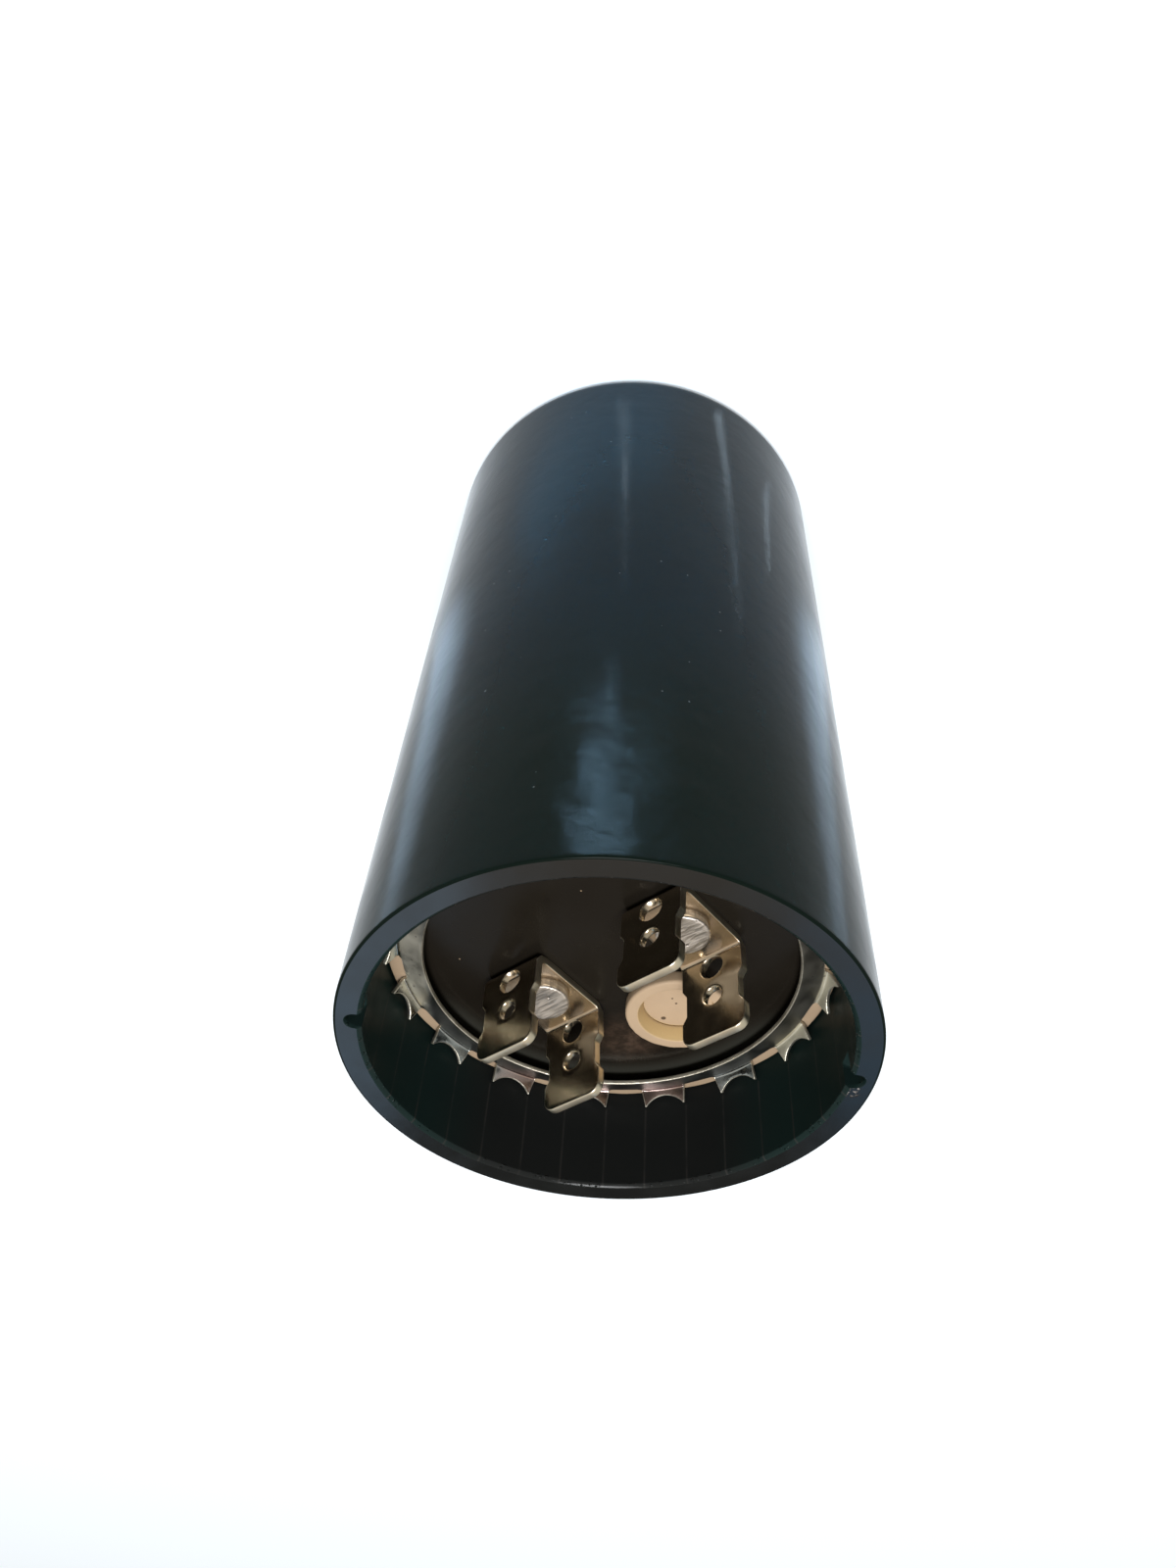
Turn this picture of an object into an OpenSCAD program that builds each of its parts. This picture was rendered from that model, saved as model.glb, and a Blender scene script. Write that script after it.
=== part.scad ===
// Motor start capacitor: a moulded black cup closed by a header disc that carries two
// twin-tab terminals and a rubber vent plug, sealed by a gasket and held by a toothed ring.
// Lengths are millimetres and angles degrees. The cup stands on its closed end with its axis
// along Z. The two terminals lie on the X axis, and the vent plug lies near the +Y axis.

/* [Case] */
// Outside diameter of the case
case_diameter = 46; // [44:0.5:56]
// Length of the case along its axis
case_length = 85.7; // [70:0.1:120]
// Wall thickness from the rim down to the ledge
rim_wall = 2.4; // [2:0.1:2.8]
// Depth of the ledge below the rim
ledge_depth = 14; // [12:0.1:20]
// Width of the ledge that carries the header disc
ledge_width = 1.3; // [0.8:0.1:2.5]
// Thickness of the closed end
floor_thickness = 3; // [2:0.1:6]
// Outer edge radius of the closed end
foot_radius = 2; // [0.5:0.1:3]
// Outer edge radius of the rim
rim_radius = 0.4; // [0.1:0.05:0.6]
// Bevel on the inner edge of the rim
rim_bevel = 0.3; // [0.1:0.05:0.8]
// Angle from the line of terminals to the pair of opposite notches in the rim
notch_angle = 133.4; // [100:0.1:170]
// Width of each notch
notch_width = 1.3; // [0.6:0.1:2]
// How far each notch reaches out from the inner wall
notch_reach = 1.5; // [1:0.1:1.8]
// Depth of each notch below the rim
notch_depth = 2.5; // [1:0.1:6]

/* [Header disc] */
// Thickness of the disc's raised centre
disc_thickness = 3.4; // [2.6:0.1:5]
// Thickness of the flange that rests on the ledge
flange_thickness = 1.9; // [1:0.1:2.5]

/* [Gasket] */
// Height of the gasket
gasket_height = 1.85; // [1.2:0.05:2.6]
// Radial width of the gasket
gasket_width = 1.9; // [1.5:0.1:3]

/* [Retaining ring] */
// Number of teeth
teeth = 16; // [12:1:18]
// Sheet thickness of the ring
ring_sheet = 0.4; // [0.3:0.05:0.6]
// Inner radius of the fold between the band and the teeth
ring_fold = 0.25; // [0.15:0.05:0.4]
// Radial distance from the case wall to the fold
tooth_span = 1.35; // [1.1:0.05:1.8]
// Radial width of the band inside the fold
band_width = 2.3; // [1.5:0.1:3.5]
// Rise of the band towards the axis
band_rise = 20; // [5:1:30]
// Rise of the teeth towards the case wall
tooth_rise = 58; // [45:1:64]
// Depth of the hollow in each tooth's end
tooth_hollow = 0.85; // [0.4:0.05:0.95]
// Width of the small land left at each tooth's two points
tooth_land = 0.12; // [0.05:0.01:0.3]
// Width of the gap between teeth at its root
gap_root = 3.3; // [2.4:0.1:4]
// Width of the gap between teeth at the points
gap_mouth = 4; // [3:0.1:4.6]
// Corner radius at the root of each gap
gap_corner = 0.5; // [0.2:0.05:0.8]

/* [Terminals] */
// Distance between the two terminals
terminal_spacing = 15.88; // [14:0.01:18]
// Sheet thickness of the terminals
tab_sheet = 0.8; // [0.6:0.05:1]
// Width of the tabs and of their base plate
tab_width = 6.35; // [5.6:0.05:7]
// Height of the tabs above the base plate
tab_height = 8.7; // [7.8:0.1:10]
// Distance from the rivet's axis to the inner face of the tab on the vent side, at its fold
vent_tab_reach = 4.25; // [3.5:0.05:5]
// Distance from the rivet's axis to the inner face of the tab on the other side, at its fold
far_tab_reach = 3.85; // [3.5:0.05:5]
// Inner radius of the folds
tab_fold = 0.4; // [0.2:0.05:0.8]
// Corner radius at the free end of each tab
tab_corner = 1.1; // [0.4:0.1:1.6]
// Depth of the waist cut into each edge of a tab
waist_depth = 0.45; // [0.2:0.05:0.8]
// Length of the waist along the tab, with its slopes
waist_length = 3.6; // [2.6:0.1:4]
// Length of each slope at the ends of the waist
waist_slope = 0.7; // [0.3:0.05:1]
// Height of the waist's middle above the base plate
waist_height = 4.5; // [4:0.1:5]
// Diameter of the larger hole, by the fold
large_hole = 2.3; // [1.4:0.1:2.6]
// Height of the larger hole above the base plate
large_hole_height = 1.25; // [1.2:0.05:2]
// Diameter of the smaller hole, in the waist
small_hole = 1.8; // [1.2:0.1:2]
// Height of the smaller hole above the base plate
small_hole_height = 4.4; // [4:0.1:5]
// Outward lean of terminal a's tab on the vent side
a_vent_lean_angle = 4; // [-3:0.5:6]
// Outward lean of terminal a's tab on the other side
a_far_lean_angle = -2; // [-3:0.5:6]
// Outward lean of terminal b's tab on the vent side
b_vent_lean_angle = 0; // [-3:0.5:6]
// Outward lean of terminal b's tab on the other side
b_far_lean_angle = 2; // [-3:0.5:6]

/* [Rivets] */
// Diameter of a rivet's shank
shank_diameter = 3.2; // [2.4:0.1:3.6]
// Diameter of a rivet's head
head_diameter = 4.8; // [4.2:0.1:5.6]
// Height of a rivet's head
head_height = 0.8; // [0.5:0.05:1.2]
// Bevel around the head's top face
head_bevel = 0.2; // [0.05:0.05:0.4]
// Diameter of a rivet's clinched tail
tail_diameter = 5; // [4.2:0.1:5.6]
// Height of a rivet's clinched tail
tail_height = 0.8; // [0.5:0.05:1.2]
// Diameter of the washer under the tail
washer_diameter = 6.4; // [5.8:0.1:7.5]
// Thickness of the washer
washer_thickness = 0.6; // [0.4:0.05:1]

/* [Vent plug] */
// Distance from the case's axis to the plug's axis
vent_distance = 8.9; // [8.5:0.1:10]
// Angle from the line of terminals to the plug
vent_angle = 96.5; // [84:0.5:98]
// Diameter of the plug's flange
vent_flange = 9.8; // [9.4:0.1:10]
// Height of the flange above the disc
vent_flange_height = 1.4; // [0.8:0.1:2]
// Edge radius of the flange
vent_edge = 0.3; // [0.1:0.05:0.6]
// Diameter of the recess in the flange, at its floor
vent_recess = 6.4; // [5:0.1:6.8]
// Taper of the recess: how much its radius grows up to the top
vent_taper = 0.3; // [0:0.05:0.6]
// Depth of the recess
vent_recess_depth = 1.5; // [0.8:0.1:2]
// Thickness of the thin floor that gives way under pressure
vent_membrane = 0.8; // [0.4:0.1:1.2]
// Diameter of the neck in the disc
vent_neck = 8; // [7.6:0.1:8.4]
// Diameter of the hollow below the thin floor
vent_hollow = 5.6; // [4:0.1:6]
// Diameter of the lip below the disc
vent_lip = 9; // [8.8:0.1:9.4]
// Height of the lip below the disc
vent_lip_height = 1; // [0.6:0.1:1.6]

/* [Winding] */
// Free height between the winding and the header disc
head_space = 6; // [4.5:0.1:12]
// Diameter of the winding's core hole
core_diameter = 5; // [3:0.1:8]
// Width of the lead strips
lead_width = 5; // [4.2:0.1:6]
// Thickness of the lead strips
lead_sheet = 0.3; // [0.2:0.05:0.5]
// Bend radius of the strips
lead_bend = 1; // [0.6:0.1:1.5]
// How far the strips reach into the winding
lead_reach = 6; // [3:0.5:15]

/* [Clearances] */
// Radial clearance between the header disc and the case
disc_clearance = 0.2; // [0.05:0.05:0.4]
// Radial clearance of the gasket on both sides
gasket_clearance = 0.15; // [0.05:0.01:0.3]
// Clearance between the ring and the gasket
ring_clearance = 0.05; // [0.02:0.01:0.2]
// Clearance between the teeth's points and the case
tooth_clearance = 0.05; // [0.02:0.01:0.15]
// Radial clearance of the shanks and the vent's neck in their holes
hole_clearance = 0.05; // [0.02:0.01:0.15]
// Radial clearance between the winding and the case
winding_clearance = 0.4; // [0.2:0.05:1]
// Clearance of the lead strips in the winding
slot_clearance = 0.1; // [0.05:0.01:0.3]

/* [Hidden] */
$fn = 96;
// Overlap of a cutting tool past the face it cuts
cut = 1;
// Straight segments in the ring's fold
fold_segments = 6;

case_radius = case_diameter / 2;
wall_radius = case_radius - rim_wall;
bore_radius = wall_radius - ledge_width;
winding_radius = bore_radius - winding_clearance;

// Heights of the stack that the ledge carries
ledge_z = case_length - ledge_depth;
flange_z = ledge_z + flange_thickness;
disc_z = ledge_z + disc_thickness;
gasket_z = flange_z + gasket_height;
plate_z = disc_z + tab_sheet;
lead_z = ledge_z - lead_sheet;
washer_z = lead_z - washer_thickness;
winding_z = ledge_z - head_space;

boss_radius = wall_radius - gasket_width;
flange_radius = wall_radius - disc_clearance;

// Retaining ring: the fold's centre and the lengths of its two legs
fold_outer = ring_fold + ring_sheet;
fold_radius = wall_radius - tooth_span;
fold_z = gasket_z + ring_clearance + fold_outer;
tip_radius = wall_radius - tooth_clearance;
band_length = (band_width - ring_fold * sin(band_rise)) / cos(band_rise);
tooth_length = (tip_radius - fold_radius - fold_outer * sin(tooth_rise)) / cos(tooth_rise);
tooth_chord = 2 * tip_radius * sin(180 / teeth) - gap_mouth - 2 * tooth_land;
hollow_radius = (tooth_chord * tooth_chord / 4 + tooth_hollow * tooth_hollow) / (2 * tooth_hollow);

terminal_x = terminal_spacing / 2;
// The lead strips enter the winding halfway between the washers and the winding's outside
lead_distance = (terminal_x + washer_diameter / 2 + winding_radius) / 2;
shank_hole = shank_diameter / 2 + hole_clearance;
neck_hole = vent_neck / 2 + hole_clearance;
vent_place = vent_distance * [cos(vent_angle), sin(vent_angle)];

// Solid half section of the case, with its two outer edges rounded
module case_outline() {
    straight = case_length - foot_radius - rim_radius;
    translate([0, foot_radius]) square([case_radius, straight]);
    square([case_radius - foot_radius, case_length / 2]);
    translate([0, case_length / 2]) square([case_radius - rim_radius, case_length / 2]);
    translate([case_radius - foot_radius, foot_radius]) circle(foot_radius);
    translate([case_radius - rim_radius, case_length - rim_radius]) circle(rim_radius);
}

// Half section of the hollow: the bore, the seat above the ledge and the bevelled mouth
module case_hollow() {
    polygon([
        [0, floor_thickness],
        [bore_radius, floor_thickness],
        [bore_radius, ledge_z],
        [wall_radius, ledge_z],
        [wall_radius, case_length - rim_bevel],
        [wall_radius + rim_bevel + cut, case_length + cut],
        [0, case_length + cut]
    ]);
}

// One rim notch with a round end, cut from the inner wall outwards along X
module rim_notch() {
    round_x = wall_radius + notch_reach - notch_width / 2;
    translate([0, 0, case_length - notch_depth]) linear_extrude(notch_depth + cut) {
        translate([wall_radius - cut, -notch_width / 2])
            square([round_x - wall_radius + cut, notch_width]);
        translate([round_x, 0]) circle(notch_width / 2);
    }
}

module case() {
    color("#1b1e20") difference() {
        rotate_extrude() difference() {
            case_outline();
            case_hollow();
        }
        for (turn = [0, 180]) rotate(notch_angle + turn) rim_notch();
    }
}

// Stepped disc: the raised centre and the flange that carries the gasket
module header_disc() {
    color("#241f1b") difference() {
        union() {
            translate([0, 0, ledge_z]) cylinder(h = flange_thickness, r = flange_radius);
            translate([0, 0, ledge_z]) cylinder(h = disc_thickness, r = boss_radius);
        }
        for (side = [-1, 1]) translate([side * terminal_x, 0, ledge_z - cut])
            cylinder(h = disc_thickness + 2 * cut, r = shank_hole);
        translate([vent_place[0], vent_place[1], ledge_z - cut])
            cylinder(h = disc_thickness + 2 * cut, r = neck_hole);
    }
}

module gasket() {
    color("#cfab84") translate([0, 0, flange_z]) difference() {
        cylinder(h = gasket_height, r = wall_radius - gasket_clearance);
        translate([0, 0, -cut])
            cylinder(h = gasket_height + 2 * cut, r = boss_radius + gasket_clearance);
    }
}

// A point on the ring's fold, with the angle measured from straight down towards the wall
function fold_point(radius, angle) = [radius * sin(angle), -radius * cos(angle)];

// The points of the fold's arc from the band to the tooth
function fold_arc(radius) = [for (i = [0:fold_segments])
    fold_point(radius, -band_rise + i * (band_rise + tooth_rise) / fold_segments)];

function band_end(radius) = fold_point(radius, -band_rise)
    + band_length * [-cos(band_rise), sin(band_rise)];

function tooth_end(radius) = fold_point(radius, tooth_rise)
    + tooth_length * [cos(tooth_rise), sin(tooth_rise)];

function backwards(points) = [for (i = [len(points) - 1:-1:0]) points[i]];

// Section of the folded sheet: the dished band, the fold and the raised tooth
module ring_section() {
    polygon(concat(
        [band_end(fold_outer)], fold_arc(fold_outer), [tooth_end(fold_outer)],
        [tooth_end(ring_fold)], backwards(fold_arc(ring_fold)), [band_end(ring_fold)]
    ));
}

// Outline of one gap, along X: flanks that open outwards from a root with round corners
module gap_outline() {
    root_x = fold_radius + gap_corner;
    reach = tip_radius - root_x;
    flare = (gap_mouth - gap_root) / 2 * (reach + cut) / reach;
    translate([root_x, 0]) {
        for (side = [-1, 1]) translate([0, side * (gap_root / 2 - gap_corner)]) circle(gap_corner);
        translate([-gap_corner, gap_corner - gap_root / 2])
            square([2 * gap_corner, gap_root - 2 * gap_corner]);
        polygon([
            [0, -gap_root / 2],
            [reach + cut, -gap_root / 2 - flare],
            [reach + cut, gap_root / 2 + flare],
            [0, gap_root / 2]
        ]);
    }
}

// Cutter for one tooth's hollow end: a round tool square to the tooth's sheet, along X
module tooth_cutter() {
    along = tooth_length - tooth_hollow + hollow_radius;
    middle = fold_point(ring_fold + ring_sheet / 2, tooth_rise)
        + along * [cos(tooth_rise), sin(tooth_rise)];
    translate([fold_radius + middle[0], 0, fold_z + middle[1]]) rotate([0, -tooth_rise, 0])
        cylinder(h = 4 * ring_sheet, r = hollow_radius, center = true);
}

module retaining_ring() {
    pitch = 360 / teeth;
    color("#8a8272") difference() {
        translate([0, 0, fold_z]) rotate_extrude() translate([fold_radius, 0]) ring_section();
        for (i = [0:teeth - 1]) {
            rotate((i + 0.5) * pitch) translate([0, 0, gasket_z])
                linear_extrude(ring_sheet + tooth_length + cut) gap_outline();
            rotate(i * pitch) tooth_cutter();
        }
    }
}

// Half section of the plug: the edge-rounded flange, the neck and the lip below the disc
module vent_outline() {
    half = vent_flange / 2;
    translate([0, disc_thickness]) square([half, vent_flange_height - vent_edge]);
    translate([0, disc_thickness]) square([half - vent_edge, vent_flange_height]);
    translate([half - vent_edge, disc_thickness + vent_flange_height - vent_edge]) circle(vent_edge);
    square([vent_neck / 2, disc_thickness]);
    translate([0, -vent_lip_height]) square([vent_lip / 2, vent_lip_height]);
}

// Half section of the plug's two hollows, with the thin floor left between them
module vent_hollows() {
    top = disc_thickness + vent_flange_height;
    floor_top = top - vent_recess_depth;
    grow = vent_taper * (vent_recess_depth + cut) / vent_recess_depth;
    polygon([
        [0, floor_top],
        [vent_recess / 2, floor_top],
        [vent_recess / 2 + grow, top + cut],
        [0, top + cut]
    ]);
    translate([0, -vent_lip_height - cut])
        square([vent_hollow / 2, floor_top - vent_membrane + vent_lip_height + cut]);
}

module vent_plug() {
    color("#cfab84") translate([vent_place[0], vent_place[1], ledge_z]) rotate_extrude() difference() {
        vent_outline();
        vent_hollows();
    }
}

// Front view of a flat tab above its fold: round corners at the free end and a waist
module tab_outline(length) {
    half = tab_width / 2;
    waist_low = waist_height - tab_fold - waist_length / 2;
    waist_high = waist_low + waist_length;
    flare = cut * waist_slope / waist_depth;
    difference() {
        union() {
            translate([-half, 0]) square([tab_width, length - tab_corner]);
            translate([tab_corner - half, 0]) square([tab_width - 2 * tab_corner, length]);
            for (side = [-1, 1]) translate([side * (half - tab_corner), length - tab_corner])
                circle(tab_corner);
        }
        for (side = [-1, 1]) polygon([
            [side * (half + cut), waist_low - flare],
            [side * (half - waist_depth), waist_low + waist_slope],
            [side * (half - waist_depth), waist_high - waist_slope],
            [side * (half + cut), waist_high + flare]
        ]);
    }
}

// One fold and the tab above it, on the +Y side of a base plate whose top face is at the origin
module folded_tab(reach, lean) {
    fold_y = reach - tab_fold;
    outside = tab_fold + tab_sheet;
    translate([0, fold_y, tab_fold]) difference() {
        union() {
            rotate([0, 90, 0]) rotate_extrude(angle = 90 - lean)
                translate([tab_fold, -tab_width / 2]) square([tab_sheet, tab_width]);
            rotate([-lean, 0, 0]) translate([0, outside, 0]) rotate([90, 0, 0])
                linear_extrude(tab_sheet) tab_outline(tab_height - tab_fold);
        }
        rotate([-lean, 0, 0]) rotate([-90, 0, 0]) {
            translate([0, tab_fold - large_hole_height, 0])
                cylinder(h = outside + cut, r = large_hole / 2);
            translate([0, tab_fold - small_hole_height, 0])
                cylinder(h = outside + cut, r = small_hole / 2);
        }
    }
}

// A base plate with its rivet hole, and a folded tab at each end
module terminal(lean_vent, lean_far) {
    vent_end = vent_tab_reach - tab_fold;
    far_end = far_tab_reach - tab_fold;
    color("#9a8a6c") translate([0, 0, plate_z]) {
        difference() {
            translate([-tab_width / 2, -far_end, -tab_sheet])
                cube([tab_width, far_end + vent_end, tab_sheet]);
            translate([0, 0, -tab_sheet - cut]) cylinder(h = tab_sheet + 2 * cut, r = shank_hole);
        }
        folded_tab(vent_tab_reach, lean_vent);
        mirror([0, 1, 0]) folded_tab(far_tab_reach, lean_far);
    }
}

module terminal_a() {
    translate([terminal_x, 0, 0]) terminal(a_vent_lean_angle, a_far_lean_angle);
}

module terminal_b() {
    translate([-terminal_x, 0, 0]) terminal(b_vent_lean_angle, b_far_lean_angle);
}

// A rivet from its flat head on the base plate to its clinched tail under the washer
module rivet() {
    head_top = plate_z + head_height;
    color("#b3aca6") {
        translate([0, 0, plate_z]) cylinder(h = head_height - head_bevel, r = head_diameter / 2);
        translate([0, 0, head_top - head_bevel])
            cylinder(h = head_bevel, r1 = head_diameter / 2, r2 = head_diameter / 2 - head_bevel);
        translate([0, 0, washer_z]) cylinder(h = plate_z - washer_z, r = shank_diameter / 2);
        translate([0, 0, washer_z - tail_height]) cylinder(h = tail_height, r = tail_diameter / 2);
    }
}

module rivet_a() {
    translate([terminal_x, 0, 0]) rivet();
}

module rivet_b() {
    translate([-terminal_x, 0, 0]) rivet();
}

// A lead strip along +X: an eye on the rivet, a bend and a leg that reaches into the winding
module lead() {
    bend_x = lead_distance - lead_bend;
    leg_bottom = winding_z - lead_reach;
    color("#c4c4c2") {
        translate([0, 0, lead_z]) linear_extrude(lead_sheet) difference() {
            union() {
                translate([terminal_x, 0]) circle(lead_width / 2);
                translate([terminal_x, -lead_width / 2]) square([bend_x - terminal_x, lead_width]);
            }
            translate([terminal_x, 0]) circle(shank_hole);
        }
        translate([bend_x, 0, lead_z - lead_bend]) rotate([90, 0, 0]) rotate_extrude(angle = 90)
            translate([lead_bend, -lead_width / 2]) square([lead_sheet, lead_width]);
        translate([lead_distance, -lead_width / 2, leg_bottom])
            cube([lead_sheet, lead_width, lead_z - lead_bend - leg_bottom]);
    }
}

module lead_a() {
    lead();
}

module lead_b() {
    rotate(180) lead();
}

module washer() {
    color("#a9a7a2") translate([0, 0, washer_z]) difference() {
        cylinder(h = washer_thickness, r = washer_diameter / 2);
        translate([0, 0, -cut]) cylinder(h = washer_thickness + 2 * cut, r = shank_hole);
    }
}

module washer_a() {
    translate([terminal_x, 0, 0]) washer();
}

module washer_b() {
    translate([-terminal_x, 0, 0]) washer();
}

// The wound roll on the case's floor, with its core hole and the slots that the leads enter
module winding() {
    slot_depth = lead_reach + slot_clearance;
    slot_width = lead_width + 2 * slot_clearance;
    color("#b59a6d") difference() {
        translate([0, 0, floor_thickness])
            cylinder(h = winding_z - floor_thickness, r = winding_radius);
        translate([0, 0, floor_thickness - cut])
            cylinder(h = winding_z - floor_thickness + 2 * cut, r = core_diameter / 2);
        for (turn = [0, 180]) rotate(turn)
            translate([lead_distance - slot_clearance, -slot_width / 2, winding_z - slot_depth])
                cube([lead_sheet + 2 * slot_clearance, slot_width, slot_depth + cut]);
    }
}

case();
header_disc();
gasket();
retaining_ring();
vent_plug();
terminal_a();
terminal_b();
rivet_a();
rivet_b();
lead_a();
lead_b();
washer_a();
washer_b();
winding();
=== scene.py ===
"""Looks of a motor start capacitor: a round moulded case, standing on its closed end, with a
recessed header that carries two folded terminals, a vent plug and a toothed retaining ring.

Shapes are worked out in millimetres and put into the meshes in metres.  The axis of the case
is Z, the terminals lie along X, and the vent plug is on the side of positive Y."""

import math
from itertools import chain
from types import SimpleNamespace

import bpy
import numpy as np
from mathutils import Matrix, Vector
from mathutils.geometry import delaunay_2d_cdt


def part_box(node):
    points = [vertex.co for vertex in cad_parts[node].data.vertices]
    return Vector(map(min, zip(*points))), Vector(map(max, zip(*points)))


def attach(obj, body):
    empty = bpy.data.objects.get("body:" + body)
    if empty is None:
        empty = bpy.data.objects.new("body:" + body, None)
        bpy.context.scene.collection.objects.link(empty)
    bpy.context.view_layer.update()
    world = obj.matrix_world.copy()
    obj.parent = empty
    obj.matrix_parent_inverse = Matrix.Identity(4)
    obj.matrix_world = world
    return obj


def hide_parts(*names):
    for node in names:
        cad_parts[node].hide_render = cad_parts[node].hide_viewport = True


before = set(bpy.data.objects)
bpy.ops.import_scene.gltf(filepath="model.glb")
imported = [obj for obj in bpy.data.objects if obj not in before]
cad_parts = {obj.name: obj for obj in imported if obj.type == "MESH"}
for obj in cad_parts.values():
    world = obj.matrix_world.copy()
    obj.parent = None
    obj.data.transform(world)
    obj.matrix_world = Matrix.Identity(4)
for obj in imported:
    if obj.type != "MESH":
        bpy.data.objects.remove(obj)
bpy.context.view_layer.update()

bl_info = {
    "name": "Motor start capacitor",
    "version": (1, 0, 0),
    "blender": (4, 5, 0),
    "location": "View3D > Sidebar > Capacitor",
    "description": "Dresses the frame of a motor start capacitor",
    "category": "Object",
}

MM = 0.001
FULL_TURN = 2.0 * math.pi


def node_box(name):
    """Lowest and highest corner of a CAD node, in millimetres."""
    low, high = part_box(name)
    return np.array(low) / MM, np.array(high) / MM


CASE_LOW, CASE_HIGH = node_box("case")
DISC_LOW, DISC_HIGH = node_box("header_disc")
GASKET_LOW, GASKET_HIGH = node_box("gasket")
VENT_LOW, VENT_HIGH = node_box("vent_plug")
TAB_LOW, TAB_HIGH = node_box("terminal_a")
RIVET_LOW, RIVET_HIGH = node_box("rivet_a")

# Radii of the case's inside at the rim, a little clear of the gasket, and of the ring's fold
WALL_RADIUS = GASKET_HIGH[0] + 0.15
FOLD_RADIUS = WALL_RADIUS - 1.35

# How far the gasket swells between two teeth, up to the underside of the ring's fold
GASKET_SWELL = 0.05

# Teeth of the retaining ring, and the degrees from one to the next
RING_TEETH = 16
RING_PITCH = 360.0 / RING_TEETH

# Thickness of the terminals' sheet, and the round on its cut edges and on the ring's
TERMINAL_SHEET = 0.8
EDGE_ROUND = 0.09

# Middle of the dust beside the vent plug, and of the chips at a notch in the rim, in millimetres
DUST_PLACE = (6.0, 10.2, DISC_HIGH[2])
CHIPS_PLACE = (-14.0, 15.85, CASE_HIGH[2])

# Pits in the floor of the vent plug's recess: places and radii in millimetres
RECESS_DEPTH = 1.5
RECESS_HEIGHT = VENT_HIGH[2] - RECESS_DEPTH
PITS = (
    ((1.40, 9.80, RECESS_HEIGHT), 0.27),
    ((-1.00, 7.94, RECESS_HEIGHT), 0.11),
    ((-0.87, 8.73, RECESS_HEIGHT), 0.13),
)

# Upright axis of the vent plug
VENT_AXIS = (*((VENT_LOW + VENT_HIGH) / 2.0)[:2].tolist(), 0.0)

# Directions about the line of sight: level towards the camera, level to the picture's right, and up
TOWARDS = Vector((-0.643, -0.766, 0.0))
RIGHTWARDS = Vector((-0.766, 0.643, 0.0))
UP = Vector((0.0, 0.0, 1.0))


def amount(name, description, value, **choices):
    """A number that a user may change."""
    return bpy.props.FloatProperty(name=name, description=description, default=value, **choices)


def length(name, description, millimetres):
    """A size that a user may change, kept in metres."""
    return amount(name, description, float(millimetres) * MM, precision=5, unit="LENGTH")


def turn(name, description, degrees):
    """An angle that a user may change, kept in radians."""
    return amount(name, description, math.radians(degrees), subtype="ANGLE")


def colour(name, description, value):
    """A colour that a user may change, in linear light."""
    return bpy.props.FloatVectorProperty(
        name=name, description=description, default=value, size=3, min=0.0, max=1.0, subtype="COLOR"
    )


class CaseSizes(bpy.types.PropertyGroup):
    """Sizes of the moulded case."""

    radius: length("Outer radius", "Outside of the case", min(CASE_HIGH[0], -CASE_LOW[0]))
    height: length("Length", "Closed end to rim", CASE_HIGH[2])
    wall: length("Wall radius", "Inside of the rim wall", WALL_RADIUS)
    bore: length("Bore radius", "Inside below the ledge", WALL_RADIUS - 1.3)
    ledge: length("Ledge height", "Where the header rests", DISC_LOW[2])
    base: length("Base thickness", "Thickness of the closed end", 3.0)
    foot: length("Foot round", "Round at the closed end", 2.0)
    rim_round: length("Rim round", "Round on the rim's outer edge", 0.24)
    rim_bevel: length("Rim bevel", "Bevel on the rim's inner edge", 0.3)
    notch_width: length("Notch width", "Width of a rim notch", 2.0)
    notch_reach: length("Notch reach", "How far a notch cuts into the rim", 1.35)
    notch_depth: length("Notch depth", "How far a notch goes down", 2.5)
    notch_angle: turn("Notch angle", "Where the first notch is", 134.8)
    second_angle: turn("Second notch angle", "Where the second notch is", 313.4)


class RingSizes(bpy.types.PropertyGroup):
    """Sizes of the toothed retaining ring."""

    sheet: length("Sheet", "Thickness of the ring's sheet", 0.4)
    fold: length("Fold radius", "Inner radius of the fold", 0.25)
    fold_place: length("Fold place", "Radius at which the fold lies", FOLD_RADIUS)
    band: length("Band", "Width of the band inside the fold", 2.357)
    tooth: length("Tooth", "Length of a tooth past the fold", 1.410)
    hollow: length("Hollow", "Depth of the hollow in a tooth's end", 0.85)
    land: length("Land", "Flat left at each point of a tooth", 0.12)
    gap_root: length("Gap root", "Width of a gap at the fold", 3.3)
    gap_mouth: length("Gap mouth", "Width of a gap at the points", 4.0)
    gap_corner: length("Gap corner", "Round in the corner of a gap", 0.5)
    gap_inset: length("Gap inset", "How far a gap cuts past the fold, towards the axis", 0.30)
    band_rise: turn("Band rise", "Slope of the band, up towards the axis", 20.0)
    tooth_rise: turn("Tooth rise", "Slope of the teeth, up towards the wall", 58.0)


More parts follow.
